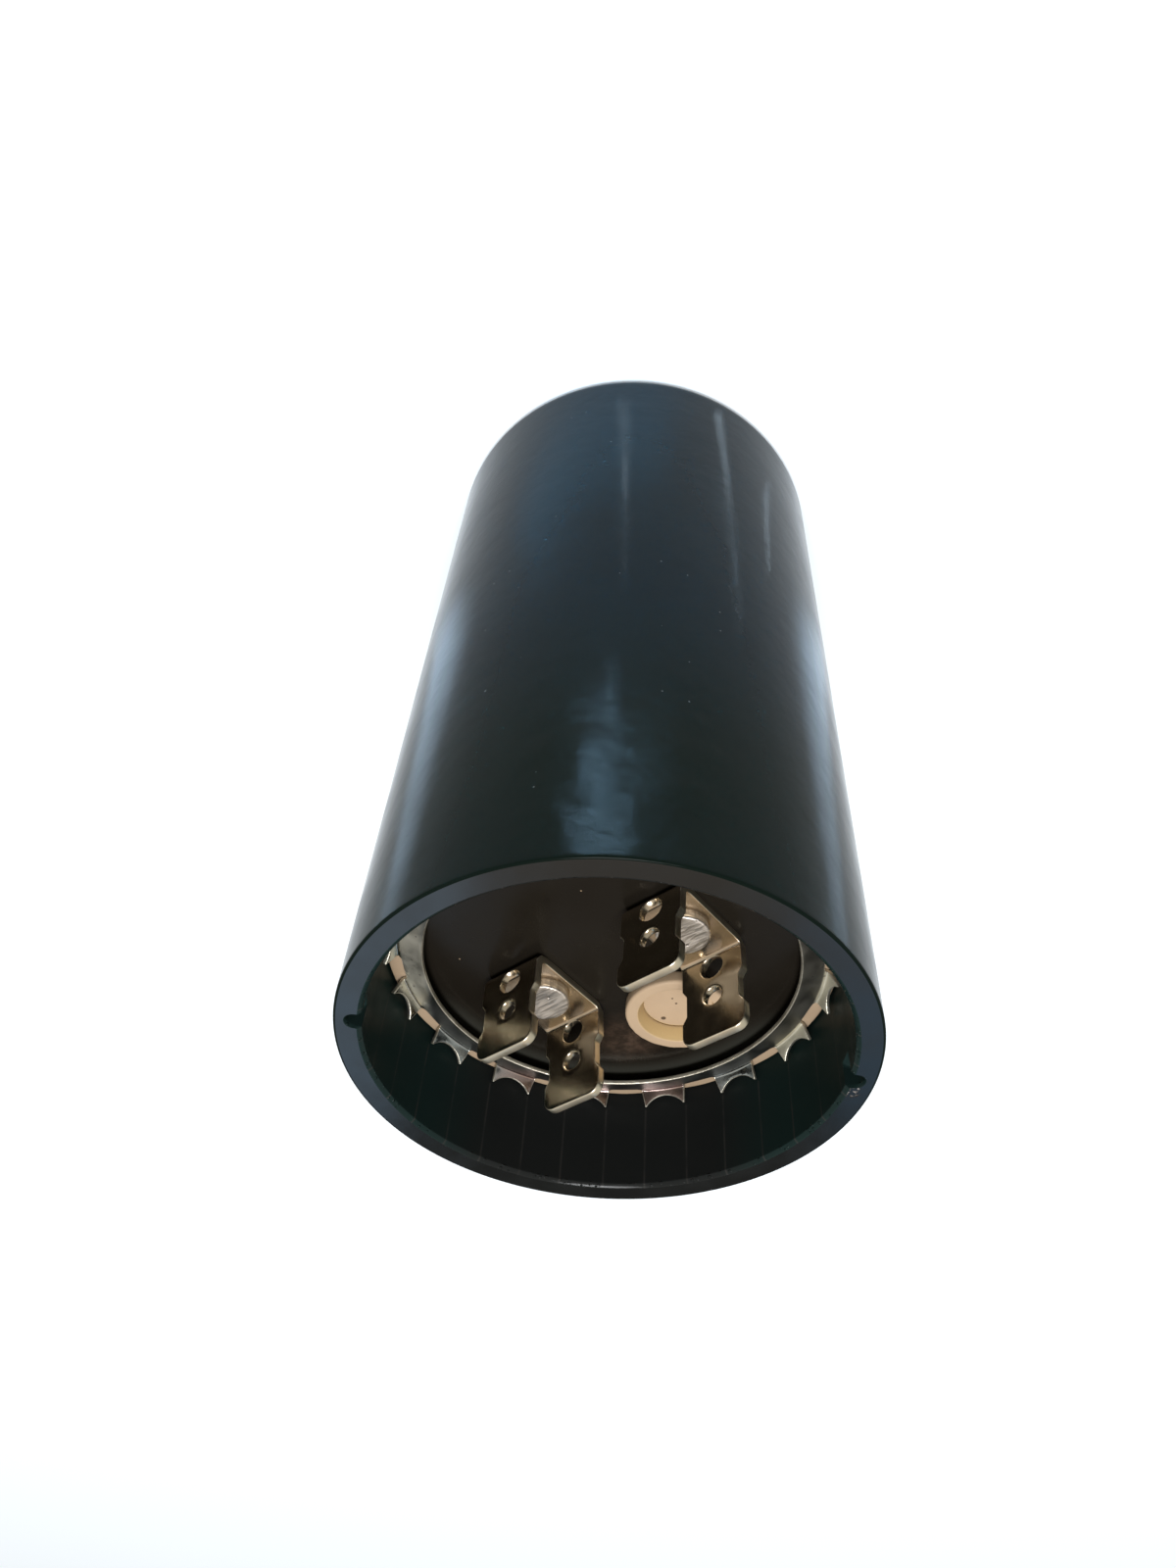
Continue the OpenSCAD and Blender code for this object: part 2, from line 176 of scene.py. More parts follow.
class TerminalSizes(bpy.types.PropertyGroup):
    """Sizes of the folded terminals."""

    sheet: length("Sheet", "Thickness of the sheet", TERMINAL_SHEET)
    width: length("Width", "Width of a tab", TAB_HIGH[0] - TAB_LOW[0])
    height: length("Height", "Tab tips above the plate", TAB_HIGH[2] - DISC_HIGH[2] - TERMINAL_SHEET)
    vent_reach: length("Vent side reach", "Rivet's axis to the inner face of the tab at the vent", 4.25)
    far_reach: length("Far side reach", "Rivet's axis to the inner face of the other tab", 3.85)
    fold: length("Fold radius", "Inner radius of the folds", 0.4)
    corner: length("Corner", "Round at a tab's corners", 1.1)
    waist_depth: length("Waist depth", "How far the waist cuts in", 0.45)
    waist_length: length("Waist length", "Length of the waist", 3.6)
    waist_height: length("Waist height", "Middle of the waist above the plate", 4.5)
    large_hole: length("Large hole", "Diameter of the hole at the fold", 2.3)
    large_height: length("Large hole height", "Its middle above the plate", 1.25)
    small_hole: length("Small hole", "Diameter of the hole further up", 1.8)
    small_height: length("Small hole height", "Its middle above the plate", 4.4)
    lean_a_vent: turn("Lean a, vent side", "Lean of the first terminal's tab at the vent", 4.0)
    lean_a_far: turn("Lean a, far side", "Lean of the first terminal's other tab", -2.0)
    lean_b_vent: turn("Lean b, vent side", "Lean of the second terminal's tab at the vent", 0.0)
    lean_b_far: turn("Lean b, far side", "Lean of the second terminal's other tab", 2.0)


class VentSizes(bpy.types.PropertyGroup):
    """Sizes of the rubber vent plug."""

    flange: length("Flange radius", "Outer radius of the flange", (VENT_HIGH[0] - VENT_LOW[0]) / 2)
    recess: length("Recess radius", "Radius of the recess at its floor", 3.2)
    taper: length("Recess taper", "How much wider the recess is at its mouth", 0.5)
    depth: length("Recess depth", "Depth of the recess", RECESS_DEPTH)
    membrane: length("Membrane", "Thickness of the floor of the recess", 0.8)
    neck: length("Neck radius", "Radius in the header's hole", 4.0)
    hollow: length("Hollow radius", "Radius of the hollow below", 2.8)
    lip: length("Lip radius", "Radius of the lip under the header", 4.5)


class RivetSizes(bpy.types.PropertyGroup):
    """Sizes of the terminal rivets."""

    head: length("Head radius", "Radius of the flat head", 2.4)
    head_height: length("Head height", "Height of the flat head", 0.8)
    shank: length("Shank radius", "Radius of the shank", 1.6)
    tail: length("Tail radius", "Radius of the tail", (RIVET_HIGH[0] - RIVET_LOW[0]) / 2)
    tail_height: length("Tail height", "Height of the tail", 0.8)


class Finishes(bpy.types.PropertyGroup):
    """Colours of the finishes, in linear light."""

    case: colour("Case", "Moulded case", (0.0042, 0.0104, 0.0146))
    rim: colour("Rim", "Turned face of the case's rim", (0.0018, 0.0024, 0.0026))
    inside: colour("Inside", "Moulded case inside its rim", (0.0122, 0.0134, 0.0132))
    header: colour("Header", "Moulded header", (0.0064, 0.0052, 0.0038))
    rubber: colour("Rubber", "Vent plug and gasket", (0.38, 0.275, 0.178))
    # The ring's colour is used for its painted olive reflection
    ring: colour("Ring", "Plated ring", (0.52, 0.505, 0.44))
    terminal: colour("Terminal", "Plated terminals", (0.66, 0.54, 0.40))
    rivet: colour("Rivet", "Rivet heads", (0.66, 0.61, 0.55))
    lead: colour("Lead", "Lead strips and washers", (0.62, 0.62, 0.60))
    winding: colour("Winding", "Wound paper roll", (0.55, 0.46, 0.33))
    floor: colour("Floor", "Studio floor", (0.84, 0.91, 0.98))


class StageSettings(bpy.types.PropertyGroup):
    """Camera and lights.  A light has a share of the power that its setting gives."""

    lens: amount("Lens", "Focal length in millimetres on a 36 mm sensor", 27.80)
    ambient: amount("Ambient", "Strength of the surroundings", 1.0)
    overhead: amount("Overhead", "Power of the light above, in watts", 12.6)
    side: amount("Sides", "Power of the lights behind the case, left and right, in watts", 0.25)
    pool: amount("Side pools", "Power of the beams beside the case, in watts", 0.018)
    glow: amount("Front pools", "Power of the beams before the case, in watts", 0.11)
    strip: amount("Strips", "Power of the thin beams, in watts", 0.0006)


class CapacitorSettings(bpy.types.PropertyGroup):
    """All that a user would change."""

    case: bpy.props.PointerProperty(type=CaseSizes)
    ring: bpy.props.PointerProperty(type=RingSizes)
    terminal: bpy.props.PointerProperty(type=TerminalSizes)
    vent: bpy.props.PointerProperty(type=VentSizes)
    rivet: bpy.props.PointerProperty(type=RivetSizes)
    finish: bpy.props.PointerProperty(type=Finishes)
    stage: bpy.props.PointerProperty(type=StageSettings)


def settings():
    """The settings kept on the scene."""
    return bpy.context.scene.capacitor


def sizes(group):
    """The sizes in a group of settings by name: lengths in millimetres, angles in radians."""
    chosen = getattr(settings(), group)
    found = {}
    for item in chosen.bl_rna.properties:
        if item.type == "FLOAT":
            unit = MM if item.unit == "LENGTH" else 1.0
            found[item.identifier] = getattr(chosen, item.identifier) / unit
    return SimpleNamespace(**found)


# Shapes


def around(count):
    """Even angles round a full turn, in radians."""
    return np.linspace(0.0, FULL_TURN, count, endpoint=False)


def arc(x, y, radius, start, stop, count):
    """Points of a circle: its middle plus the radius times the cosine and sine of even angles."""
    angle = np.radians(np.linspace(start, stop, count))
    return np.column_stack((x + radius * np.cos(angle), y + radius * np.sin(angle)))


def turned(points, degrees):
    """Plane points turned about the origin."""
    angle = math.radians(degrees)
    spin = np.array(((math.cos(angle), math.sin(angle)), (-math.sin(angle), math.cos(angle))))
    return points @ spin


def revolved(profile, angles, out=0.0, up=0.0, closed=False):
    """Surface of revolution: a profile's point (r, z) at angle t is (r cos t, r sin t, z).

    A point may be moved out and up by amounts that change with the angle.  An open profile
    starts and ends on the axis, where a single point closes it, and a closed one joins its last
    row to its first.
    """
    grid = np.zeros((len(profile), len(angles)))
    r = grid + profile[:, :1] + out
    z = grid + profile[:, 1:] + up
    ends = np.array(((0.0, 0.0, z[0].mean()), (0.0, 0.0, z[-1].mean())))
    if not closed:
        r = r[1:-1]
        z = z[1:-1]
    points = np.stack((r * np.cos(angles), r * np.sin(angles), z), axis=-1).reshape(-1, 3)
    index = np.arange(r.size).reshape(r.shape)
    rows = np.vstack((index, index[:1])) if closed else index
    beside = np.roll(rows, -1, axis=1)
    quads = np.stack((rows[:-1], beside[:-1], beside[1:], rows[1:]), axis=-1)
    faces = quads.reshape(-1, 4).tolist()
    if not closed:
        first = np.full(len(angles), len(points))
        faces += np.column_stack((first, beside[0], index[0])).tolist()
        faces += np.column_stack((first + 1, index[-1], beside[-1])).tolist()
        points = np.vstack((points, ends))
    return points, faces


def inward(loop):
    """Unit normals to the left of a closed loop, halved between its two edges at a corner."""
    ahead = np.roll(loop, -1, axis=0) - loop
    ahead /= np.linalg.norm(ahead, axis=1, keepdims=True)
    along = ahead + np.roll(ahead, 1, axis=0)
    along /= np.linalg.norm(along, axis=1, keepdims=True)
    slant = np.maximum(np.sum(along * ahead, axis=1, keepdims=True), 0.5)
    return np.column_stack((-along[:, 1], along[:, 0])) / slant


def inside(points, loop):
    """Whether points lie in a loop: a ray from each crosses the loop an odd number of times."""
    x, y = points[:, :1], points[:, 1:]
    x0, y0 = loop[:, 0], loop[:, 1]
    x1, y1 = np.roll(x0, -1), np.roll(y0, -1)
    spans = (y0 > y) != (y1 > y)
    rise = np.where(y1 == y0, 1.0, y1 - y0)
    crosses = spans & (x < (x1 - x0) * (y - y0) / rise + x0)
    return crosses.sum(axis=1) % 2 == 1


def on_sheet(points, loops):
    """Whether points lie in the first loop and out of the others, which are holes."""
    keep = inside(points, loops[0])
    for hole in loops[1:]:
        keep &= ~inside(points, hole)
    return keep


def clear_of(points, loops, margin, batch=1000):
    """The points that lie on a sheet at more than a margin from its loops, tested in batches."""
    keep = on_sheet(points, loops)
    edge = np.vstack(loops)
    for start in range(0, len(points), batch):
        part = points[start:start + batch]
        gap = np.min(np.hypot(part[:, :1] - edge[:, 0], part[:, 1:] - edge[:, 1]), axis=1)
        keep[start:start + batch] &= gap > margin
    return points[keep]


def sheet_blank(loops, edges, marks, inner_points, thickness):
    """A flat sheet with rounded edges, as points (x, y, height), faces and a cut-edge mark.

    Each loop keeps the sheet on its left: the outline first, then the holes.  The two faces are
    the loops drawn in by the edge round e and filled with triangles, and each edge is a strip
    whose inset is e(1 - sin a) while its height is t/2 - e(1 - cos a), for a from 0 to 90
    degrees, above and below.  Each loop's mark says how bright its cut edge is.
    """
    half = thickness / 2.0
    drawn = [loop + inward(loop) * edge for loop, edge in zip(loops, edges)]
    flat = np.vstack(drawn + [inner_points])
    starts = np.cumsum([0] + [len(loop) for loop in loops])
    rims = [np.arange(start, stop) for start, stop in zip(starts[:-1], starts[1:])]
    sides = np.vstack([np.column_stack((rim, np.roll(rim, -1))) for rim in rims])
    fill = delaunay_2d_cdt(flat.tolist(), sides.tolist(), [], 0, 1e-6)
    place = np.array(fill[0], float)
    count = len(place)
    triangles = np.array(fill[2])
    triangles = triangles[on_sheet(place[triangles].mean(axis=1), drawn)]
    # The number that each given point has among the filled ones
    givers = np.fromiter(map(len, fill[3]), int)
    source = np.full(len(flat), -1)
    source[np.fromiter(chain.from_iterable(fill[3]), int)] = np.repeat(np.arange(count), givers)
    points = [np.column_stack((place, np.full(count, level))) for level in (half, -half)]
    faces = triangles.tolist() + (triangles[:, ::-1] + count).tolist()
    cut = [np.zeros(2 * count)]
    total = 2 * count
    steps = np.radians((30.0, 60.0, 90.0))
    for loop, edge, mark, rim in zip(loops, edges, marks, rims):
        size = len(loop)
        insets = edge * (1.0 - np.sin(steps))
        heights = half - edge * (1.0 - np.cos(steps))
        insets = np.concatenate((insets, insets[::-1]))
        heights = np.concatenate((heights, -heights[::-1]))
        rings = [source[rim]]
        for inset, height in zip(insets, heights):
            points.append(np.column_stack((loop + inward(loop) * inset, np.full(size, height))))
            cut.append(np.full(size, mark))
            rings.append(np.arange(total, total + size))
            total += size
        rings.append(source[rim] + count)
        for upper, lower in zip(rings[:-1], rings[1:]):
            quads = np.column_stack((upper, lower, np.roll(lower, -1), np.roll(upper, -1)))
            faces += quads.tolist()
    return np.vstack(points), faces, np.concatenate(cut)


def new_piece(name, node, points, faces, materials, sharp, cut=None, zones=None):
    """Puts points in millimetres and faces into an object that stands for a CAD node.

    Edges that turn by more than the sharp angle, in degrees, stay sharp.  The cut marks go to
    the points, and the zones say which of the materials a face has.
    """
    mesh = bpy.data.meshes.new(name)
    mesh.from_pydata((points * MM).tolist(), [], faces)
    if mesh.validate():
        raise RuntimeError(name + " has faces that Blender had to mend")
    if cut is not None:
        mark = mesh.attributes.new("cut_edge", "FLOAT", "POINT")
        mark.data.foreach_set("value", cut.astype(np.float32))
    mesh.shade_smooth()
    mesh.set_sharp_from_angle(angle=math.radians(sharp))
    for material in materials:
        mesh.materials.append(material)
    if zones is not None:
        mesh.polygons.foreach_set("material_index", zones.astype(np.int32))
    mesh.update()
    piece = bpy.data.objects.new(name, mesh)
    bpy.context.scene.collection.objects.link(piece)
    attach(piece, "root")
    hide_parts(node)


def dress(node, material):
    """Gives a CAD node a finish and leaves its mesh alone."""
    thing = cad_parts[node]
    thing.data.materials.clear()
    thing.data.materials.append(material)


# Finishes


def shade(value, share):
    """A colour made darker, or paler if the share is over 1."""
    return tuple(share * part for part in value)


class Nodes:
    """Adds nodes to a tree.  Wherever a value is asked for, another node's socket will do."""

    def __init__(self, tree):
        self.tree = tree

    def put(self, socket, value):
        """Links a socket to another one, or sets its value; None leaves it as it is."""
        if isinstance(value, bpy.types.NodeSocket):
            self.tree.links.new(value, socket)
        elif value is not None:
            socket.default_value = (*value, 1.0) if socket.type == "RGBA" else value

    def add(self, kind, *values, **choices):
        """A new node: the choices are set by name, and the values go to its inputs in order."""
        node = self.tree.nodes.new(kind)
        for key, value in choices.items():
            setattr(node, key, value)
        for socket, value in zip(node.inputs, values):
            self.put(socket, value)
        return node

    def sum_of(self, kind, first, second=None, third=None):
        """A sum of the given kind."""
        return self.add("ShaderNodeMath", first, second, third, operation=kind).outputs[0]

    def times(self, first, second):
        """A product."""
        return self.sum_of("MULTIPLY", first, second)

    def measure(self, kind, first, second=None):
        """A number worked out from vectors, such as a distance."""
        return self.add("ShaderNodeVectorMath", first, second, operation=kind).outputs[1]

    def ramp(self, value, low, high, to_low=0.0, to_high=1.0):
        """Carries a value smoothly from one range to another and holds it there."""
        node = self.add("ShaderNodeMapRange", value, low, high, to_low, to_high)
        node.interpolation_type = "SMOOTHSTEP"
        return node.outputs[0]

    def blend(self, share, first, second):
        """Mixes two colours."""
        node = self.add("ShaderNodeMix", share, data_type="RGBA")
        self.put(node.inputs[6], first)
        self.put(node.inputs[7], second)
        return node.outputs[2]


class Coat(Nodes):
    """A new material with one shader.  Its colour and its bump are built up in layers."""

    def __init__(self, name, look):
        self.material = bpy.data.materials.new(name)
        self.material.use_nodes = True
        super().__init__(self.material.node_tree)
        self.tree.nodes.clear()
        self.shader = self.add("ShaderNodeBsdfPrincipled")
        self.add("ShaderNodeOutputMaterial", self.shader.outputs[0])
        self.place = self.add("ShaderNodeTexCoord").outputs["Object"]
        self.look = getattr(settings().finish, look)
        self.base = None
        self.bump = None

    def done(self, rough, **constants):
        """Gives the shader the layers, the roughness and the constants, and ends the material."""
        inputs = self.shader.inputs
        self.put(inputs["Base Color"], self.base)
        self.put(inputs["Normal"], self.bump)
        self.put(inputs["Roughness"], rough)
        for key, value in constants.items():
            inputs[key].default_value = value
        return self.material

    def vary(self, cloud, low, high):
        """First layer: the look's colour times a share, which a cloud carries from low to high."""
        self.base = self.blend(cloud, shade(self.look, low), shade(self.look, high))

    def tint(self, mask, over, share=1.0):
        """Lays a share of a colour over the layers below, where the mask is 1."""
        if share < 1.0:
            mask = self.times(mask, share)
        self.base = self.blend(mask, self.base, over)

    def emboss(self, height, strength, distance):
        """Lays a bump over the ones below, its distance in millimetres."""
        node = self.add("ShaderNodeBump", strength, distance * MM)
        self.put(node.inputs["Height"], height)
        self.put(node.inputs["Normal"], self.bump)
        self.bump = node.outputs[0]

    def noise(self, scale, detail=2.0, rough=0.5, place=None):
        """Cloudy noise from 0 to 1, its scale in waves per metre."""
        place = place or self.place
        return self.add("ShaderNodeTexNoise", place, None, scale, detail, rough).outputs["Fac"]

    def ranged(self, cloud, low=0.0, high=1.0):
        """Carries noise, most of which lies from 0.3 to 0.7, to a range."""
        return self.ramp(cloud, 0.3, 0.7, low, high)

    def specks(self, scale, size, share):
        """Small round specks: the middles of a share of scattered cells."""
        cells = self.add("ShaderNodeTexVoronoi", self.place, None, scale)
        draw = self.add("ShaderNodeSeparateColor", cells.outputs["Color"]).outputs[0]
        dot = self.ramp(cells.outputs["Distance"], size, size * 0.6)
        return self.times(dot, self.sum_of("LESS_THAN", draw, share))

    def along(self, direction, start, stop, share=1.0, drift=None):
        """A mask that grows to its share between two distances, in millimetres, along a direction.

        The drift is added to the distance, in metres.
        """
        far = self.measure("DOT_PRODUCT", self.place, direction)
        if drift is not None:
            far = self.sum_of("ADD", far, drift)
        return self.ramp(far, start * MM, stop * MM, 0.0, share)

    def aside(self, start, stop):
        """A mask that goes from 0 to 1 with the distance, in millimetres, to the left or right."""
        off = self.sum_of("ABSOLUTE", self.measure("DOT_PRODUCT", self.place, RIGHTWARDS))
        return self.ramp(off, start * MM, stop * MM)

    def flat(self):
        """Object coordinates without their height."""
        level = (1.0, 1.0, 0.0)
        return self.add("ShaderNodeVectorMath", self.place, level, operation="MULTIPLY").outputs[0]

    def radius(self):
        """Distance from the case's axis, in metres."""
        return self.measure("LENGTH", self.flat())

    def near(self, spot, far, close, place=None):
        """A soft spot about a point: 0 beyond the far radius, 1 within the close one, in millimetres."""
        off = self.measure("DISTANCE", place or self.place, Vector(spot) * MM)
        return self.ramp(off, far * MM, close * MM)

    def stretched(self, scale, degrees=0.0):
        """Object coordinates scaled and turned about the upright, for noise drawn out into lines."""
        node = self.add("ShaderNodeMapping", self.place)
        node.inputs["Scale"].default_value = scale
        node.inputs["Rotation"].default_value = (0.0, 0.0, math.radians(degrees))
        return node.outputs[0]

    def cut_edge(self):
        """The mark on the cut edges of a sheet."""
        return self.add("ShaderNodeAttribute", attribute_name="cut_edge").outputs["Fac"]


# The case's moulding mirrors little when it is seen from straight ahead
CASE_IOR = 1.10


def case_finish():
    """Glossy moulded black with dust, faint smudges, a strip of sink marks and a painted tint of its
    reflections.
    """
    coat = Coat("moulded_case_black", "case")
    coat.vary(coat.noise(60.0, 3.0), 1.0, 0.7)
    # Painted reflection tint: greener towards the rim, bluer towards the foot
    coat.tint(coat.along(UP, 45.0, 75.0, 0.85), (0.0036, 0.0066, 0.0042))
    dust = coat.specks(640.0, 0.065, 0.22)
    coat.tint(dust, (0.22, 0.24, 0.25), 0.35)
    # Sink marks opposite the vent: duller, stronger waves in one strip below the rim
    strip = coat.times(coat.aside(11.0, 4.0), coat.along(TOWARDS, 0.0, 15.0))
    strip = coat.times(strip, coat.along(UP, 50.0, 70.0))
    smudge = coat.ramp(coat.noise(140.0, 4.0), 0.3, 0.75, 0.11, 0.20)
    coat.emboss(coat.noise(330.0), 0.5, 0.06)
    coat.emboss(coat.times(coat.noise(230.0), strip), 1.0, 0.22)
    coat.emboss(dust, 0.4, 0.03)
    return coat.done(coat.sum_of("MULTIPLY_ADD", strip, 0.06, smudge), IOR=CASE_IOR)


def rim_finish():
    """Satin rim face, turned after moulding, with chips near its first notch."""
    coat = Coat("moulded_rim_black", "rim")
    cloud = coat.noise(240.0, 3.0)
    coat.vary(cloud, 1.0, 2.0)
    chips = coat.times(coat.near(CHIPS_PLACE, 1.1, 0.5), coat.ramp(coat.noise(2600.0), 0.52, 0.60))
    coat.tint(chips, (0.20, 0.18, 0.17))
    coat.emboss(coat.noise(500.0), 0.10, 0.05)
    coat.emboss(chips, 0.8, 0.1)
    return coat.done(coat.ranged(cloud, 0.14, 0.22), IOR=1.60)


def inside_finish():
    """Duller black inside the rim, with faint lines scraped up the wall by the teeth, and a painted paler
    reflection to each side.
    """
    coat = Coat("moulded_inside_black", "inside")
    # Each point of a tooth lies 5.75 degrees from the tooth's middle, and its line starts there.
    parts = coat.add("ShaderNodeSeparateXYZ", coat.place).outputs
    swing = coat.sum_of("ARCTAN2", parts[1], parts[0])
    swing = coat.sum_of("PINGPONG", swing, math.radians(RING_PITCH / 2.0))
    off_point = coat.sum_of("ABSOLUTE", coat.sum_of("SUBTRACT", swing, math.radians(5.75)))
    line = coat.times(coat.ramp(off_point, 0.0065, 0.0015), coat.along(UP, 77.0, 77.4))
    line = coat.times(line, coat.ramp(coat.noise(420.0), 0.3, 0.6, 0.35, 1.0))
    cloud = coat.noise(200.0, 3.0)
    coat.vary(cloud, 1.0, 0.8)
    # Painted reflection: the wall is paler and blue-green to the left and right
    coat.tint(coat.aside(10.0, 17.0), (0.0078, 0.0165, 0.0155))
    coat.tint(line, (0.035, 0.033, 0.031), 0.55)
    # The bevel is glossy and chipped, so it glitters
    bevel = coat.along(UP, CASE_HIGH[2] - 0.42, CASE_HIGH[2] - 0.32)
    coat.put(coat.shader.inputs["IOR"], coat.ramp(bevel, 0.0, 1.0, CASE_IOR, 1.17))
    coat.emboss(coat.noise(300.0), 0.10, 0.05)
    coat.emboss(coat.times(coat.specks(2400.0, 0.45, 0.35), bevel), 0.9, 0.1)
    rough = coat.sum_of("MULTIPLY_ADD", bevel, -0.22, coat.ranged(cloud, 0.30, 0.40))
    return coat.done(rough, IOR=CASE_IOR)


def header_finish():
    """Glossy brown-black board with specks, a patch of dust and a painted paler sheen along its edge."""
    coat = Coat("moulded_header_black", "header")
    cloud = coat.noise(160.0, 4.0)
    coat.vary(cloud, 1.0, 1.5)
    coat.tint(coat.specks(620.0, 0.06, 0.16), (0.30, 0.22, 0.14), 0.7)
    flecks = coat.ramp(coat.noise(900.0, 5.0, 0.7), 0.36, 0.70, 0.25, 1.0)
    coat.tint(coat.times(coat.near(DUST_PLACE, 4.6, 0.6), flecks), (0.062, 0.040, 0.028), 0.75)
    # Painted reflection: a paler film along the disc's edge, on the vent's side
    painted_edge_sheen = coat.times(coat.ramp(coat.radius(), 15.2 * MM, 17.2 * MM), coat.along(-TOWARDS, 5.0, 11.0))
    coat.tint(painted_edge_sheen, (0.022, 0.0215, 0.0175))
    coat.emboss(coat.noise(350.0), 0.12, 0.04)
    return coat.done(coat.ranged(cloud, 0.17, 0.27), IOR=1.235)


def rubber_finish(name, share):
    """Tan rubber: matt, mottled, with dark pits and specks, and painted paler light on the wall of the
    vent's recess.
    """
    coat = Coat(name, "rubber")
    mottle = coat.noise(320.0, 4.0, 0.6)
    coat.vary(mottle, 0.86 * share, share)
    # Painted light: the sloping wall of the recess, between its floor and its mouth, is drawn paler and
    # yellower
    flat = coat.flat()
    floor = coat.near(VENT_AXIS, 3.30, 3.10, flat)
    painted_wall_light = coat.sum_of("SUBTRACT", coat.near(VENT_AXIS, 3.85, 3.65, flat), floor)
    coat.tint(painted_wall_light, (0.56, 0.40, 0.185), 0.85)
    pits = coat.specks(620.0, 0.17, 0.05)
    for spot, size in PITS:
        pits = coat.sum_of("MAXIMUM", pits, coat.near(spot, size, 0.7 * size))
    coat.tint(pits, (0.05, 0.03, 0.015), 0.95)
    coat.emboss(coat.noise(1500.0, 3.0), 0.25, 0.05)
    coat.emboss(coat.times(pits, -1.0), 0.6, 0.08)
    return coat.done(coat.ranged(mottle, 0.62, 0.8), IOR=1.45)


def ring_finish():
    """Bright plating, speckled, with rough cut edges, and painted reflections whose cast changes round
    the ring.
    """
    coat = Coat("plated_ring", "ring")
    # Painted reflections: steel blue, but olive to the left, silver to the right and pink on the far side
    drift = coat.sum_of("MULTIPLY_ADD", coat.noise(160.0, 1.0), 3.0 * MM, -1.5 * MM)
    olive = coat.along(-RIGHTWARDS, 16.0, 17.4, 1.0, drift)
    silver = coat.along(RIGHTWARDS, 14.5, 16.5, 1.0, drift)
    coat.base = (0.42, 0.46, 0.47)
    coat.tint(olive, shade(coat.look, 1.35))
    coat.tint(silver, (0.75, 0.72, 0.60))
    coat.tint(coat.along(-TOWARDS, 15.6, 17.6, 1.0, drift), (0.40, 0.31, 0.29))
    coat.tint(coat.specks(1500.0, 0.22, 0.22), (0.16, 0.14, 0.12), 0.6)
    # Painted dark reflection: the band inside the fold is drawn dark, but for the olive side
    band = coat.ramp(coat.radius(), (FOLD_RADIUS - 0.1) * MM, (FOLD_RADIUS - 0.3) * MM)
    painted_band_darkness = coat.times(band, coat.ramp(olive, 0.0, 1.0, 0.88, 0.0))
    coat.tint(painted_band_darkness, (0.085, 0.084, 0.076))
    cut = coat.cut_edge()
    coat.tint(cut, (0.60, 0.57, 0.48))
    coat.emboss(coat.noise(520.0), 0.25, 0.06)
    coat.emboss(coat.times(coat.noise(4200.0), cut), 0.7, 0.08)
    matt = coat.times(coat.sum_of("MAXIMUM", cut, band), 0.26)
    matt = coat.sum_of("MAXIMUM", matt, coat.times(silver, 0.28))
    dull = coat.ranged(coat.noise(420.0, 3.0), 0.12, 0.28)
    return coat.done(coat.sum_of("ADD", dull, matt), Metallic=1.0)


def terminal_finish():
    """Warm dull plating, a little cloudy, with fine rolling lines and bright cut edges."""
    coat = Coat("plated_terminal", "terminal")
    coat.vary(coat.ranged(coat.noise(200.0)), 0.78, 1.0)
    # Painted dark reflection: the upright tabs are drawn darker than the plates
    plate = DISC_HIGH[2] + TERMINAL_SHEET
    coat.tint(coat.along(UP, plate, plate + 1.6, 0.75), (0.36, 0.31, 0.225))
    cut = coat.cut_edge()
    coat.tint(cut, (0.66, 0.60, 0.47))
    coat.emboss(coat.noise(700.0, place=coat.stretched((6.0, 1.0, 1.0))), 0.15, 0.04)
    dull = coat.ranged(coat.noise(700.0, 3.0), 0.17, 0.25)
    return coat.done(coat.sum_of("MULTIPLY_ADD", cut, 0.14, dull), Metallic=1.0)


def rivet_finish():
    """Pale aluminium with brushed lines across the flat head and small pits."""
    coat = Coat("rivet_metal", "rivet")
    brushed = coat.ranged(coat.noise(520.0, 4.0, 0.65, coat.stretched((1.0, 7.0, 1.0), -25.0)))
    coat.vary(brushed, 0.62, 1.0)
    pits = coat.specks(1300.0, 0.2, 0.14)
    coat.tint(pits, (0.18, 0.16, 0.15), 0.7)
    coat.emboss(brushed, 0.35, 0.06)
    coat.emboss(coat.times(pits, -1.0), 0.5, 0.08)
    return coat.done(coat.ranged(brushed, 0.34, 0.5), Metallic=1.0)


def lead_finish():
    """Plain drawn metal with fine lengthwise lines."""
    coat = Coat("lead_metal", "lead")
    lines = coat.noise(600.0, 3.0, place=coat.stretched((1.0, 8.0, 1.0)))
    coat.vary(lines, 0.8, 1.0)
    coat.emboss(lines, 0.2, 0.04)
    return coat.done(coat.ranged(lines, 0.28, 0.45), Metallic=1.0)


def winding_finish():
    """Oiled paper wound about the axis, a turn to each half millimetre."""
    coat = Coat("winding_paper", "winding")
    turns = coat.sum_of("SINE", coat.times(coat.radius(), FULL_TURN / (0.5 * MM)))
    fibre = coat.noise(900.0, 3.0)
    paper = coat.sum_of("MULTIPLY_ADD", turns, 0.2, fibre)
    coat.vary(coat.ramp(paper, 0.2, 0.8), 0.6, 1.0)
    coat.emboss(paper, 0.3, 0.1)
    return coat.done(coat.ranged(fibre, 0.5, 0.7), IOR=1.4)


def floor_finish():
    """Smooth pale studio board."""
    coat = Coat("studio_floor", "floor")
    coat.vary(coat.noise(4.0), 0.985, 1.0)
    return coat.done(0.9)


# Pieces


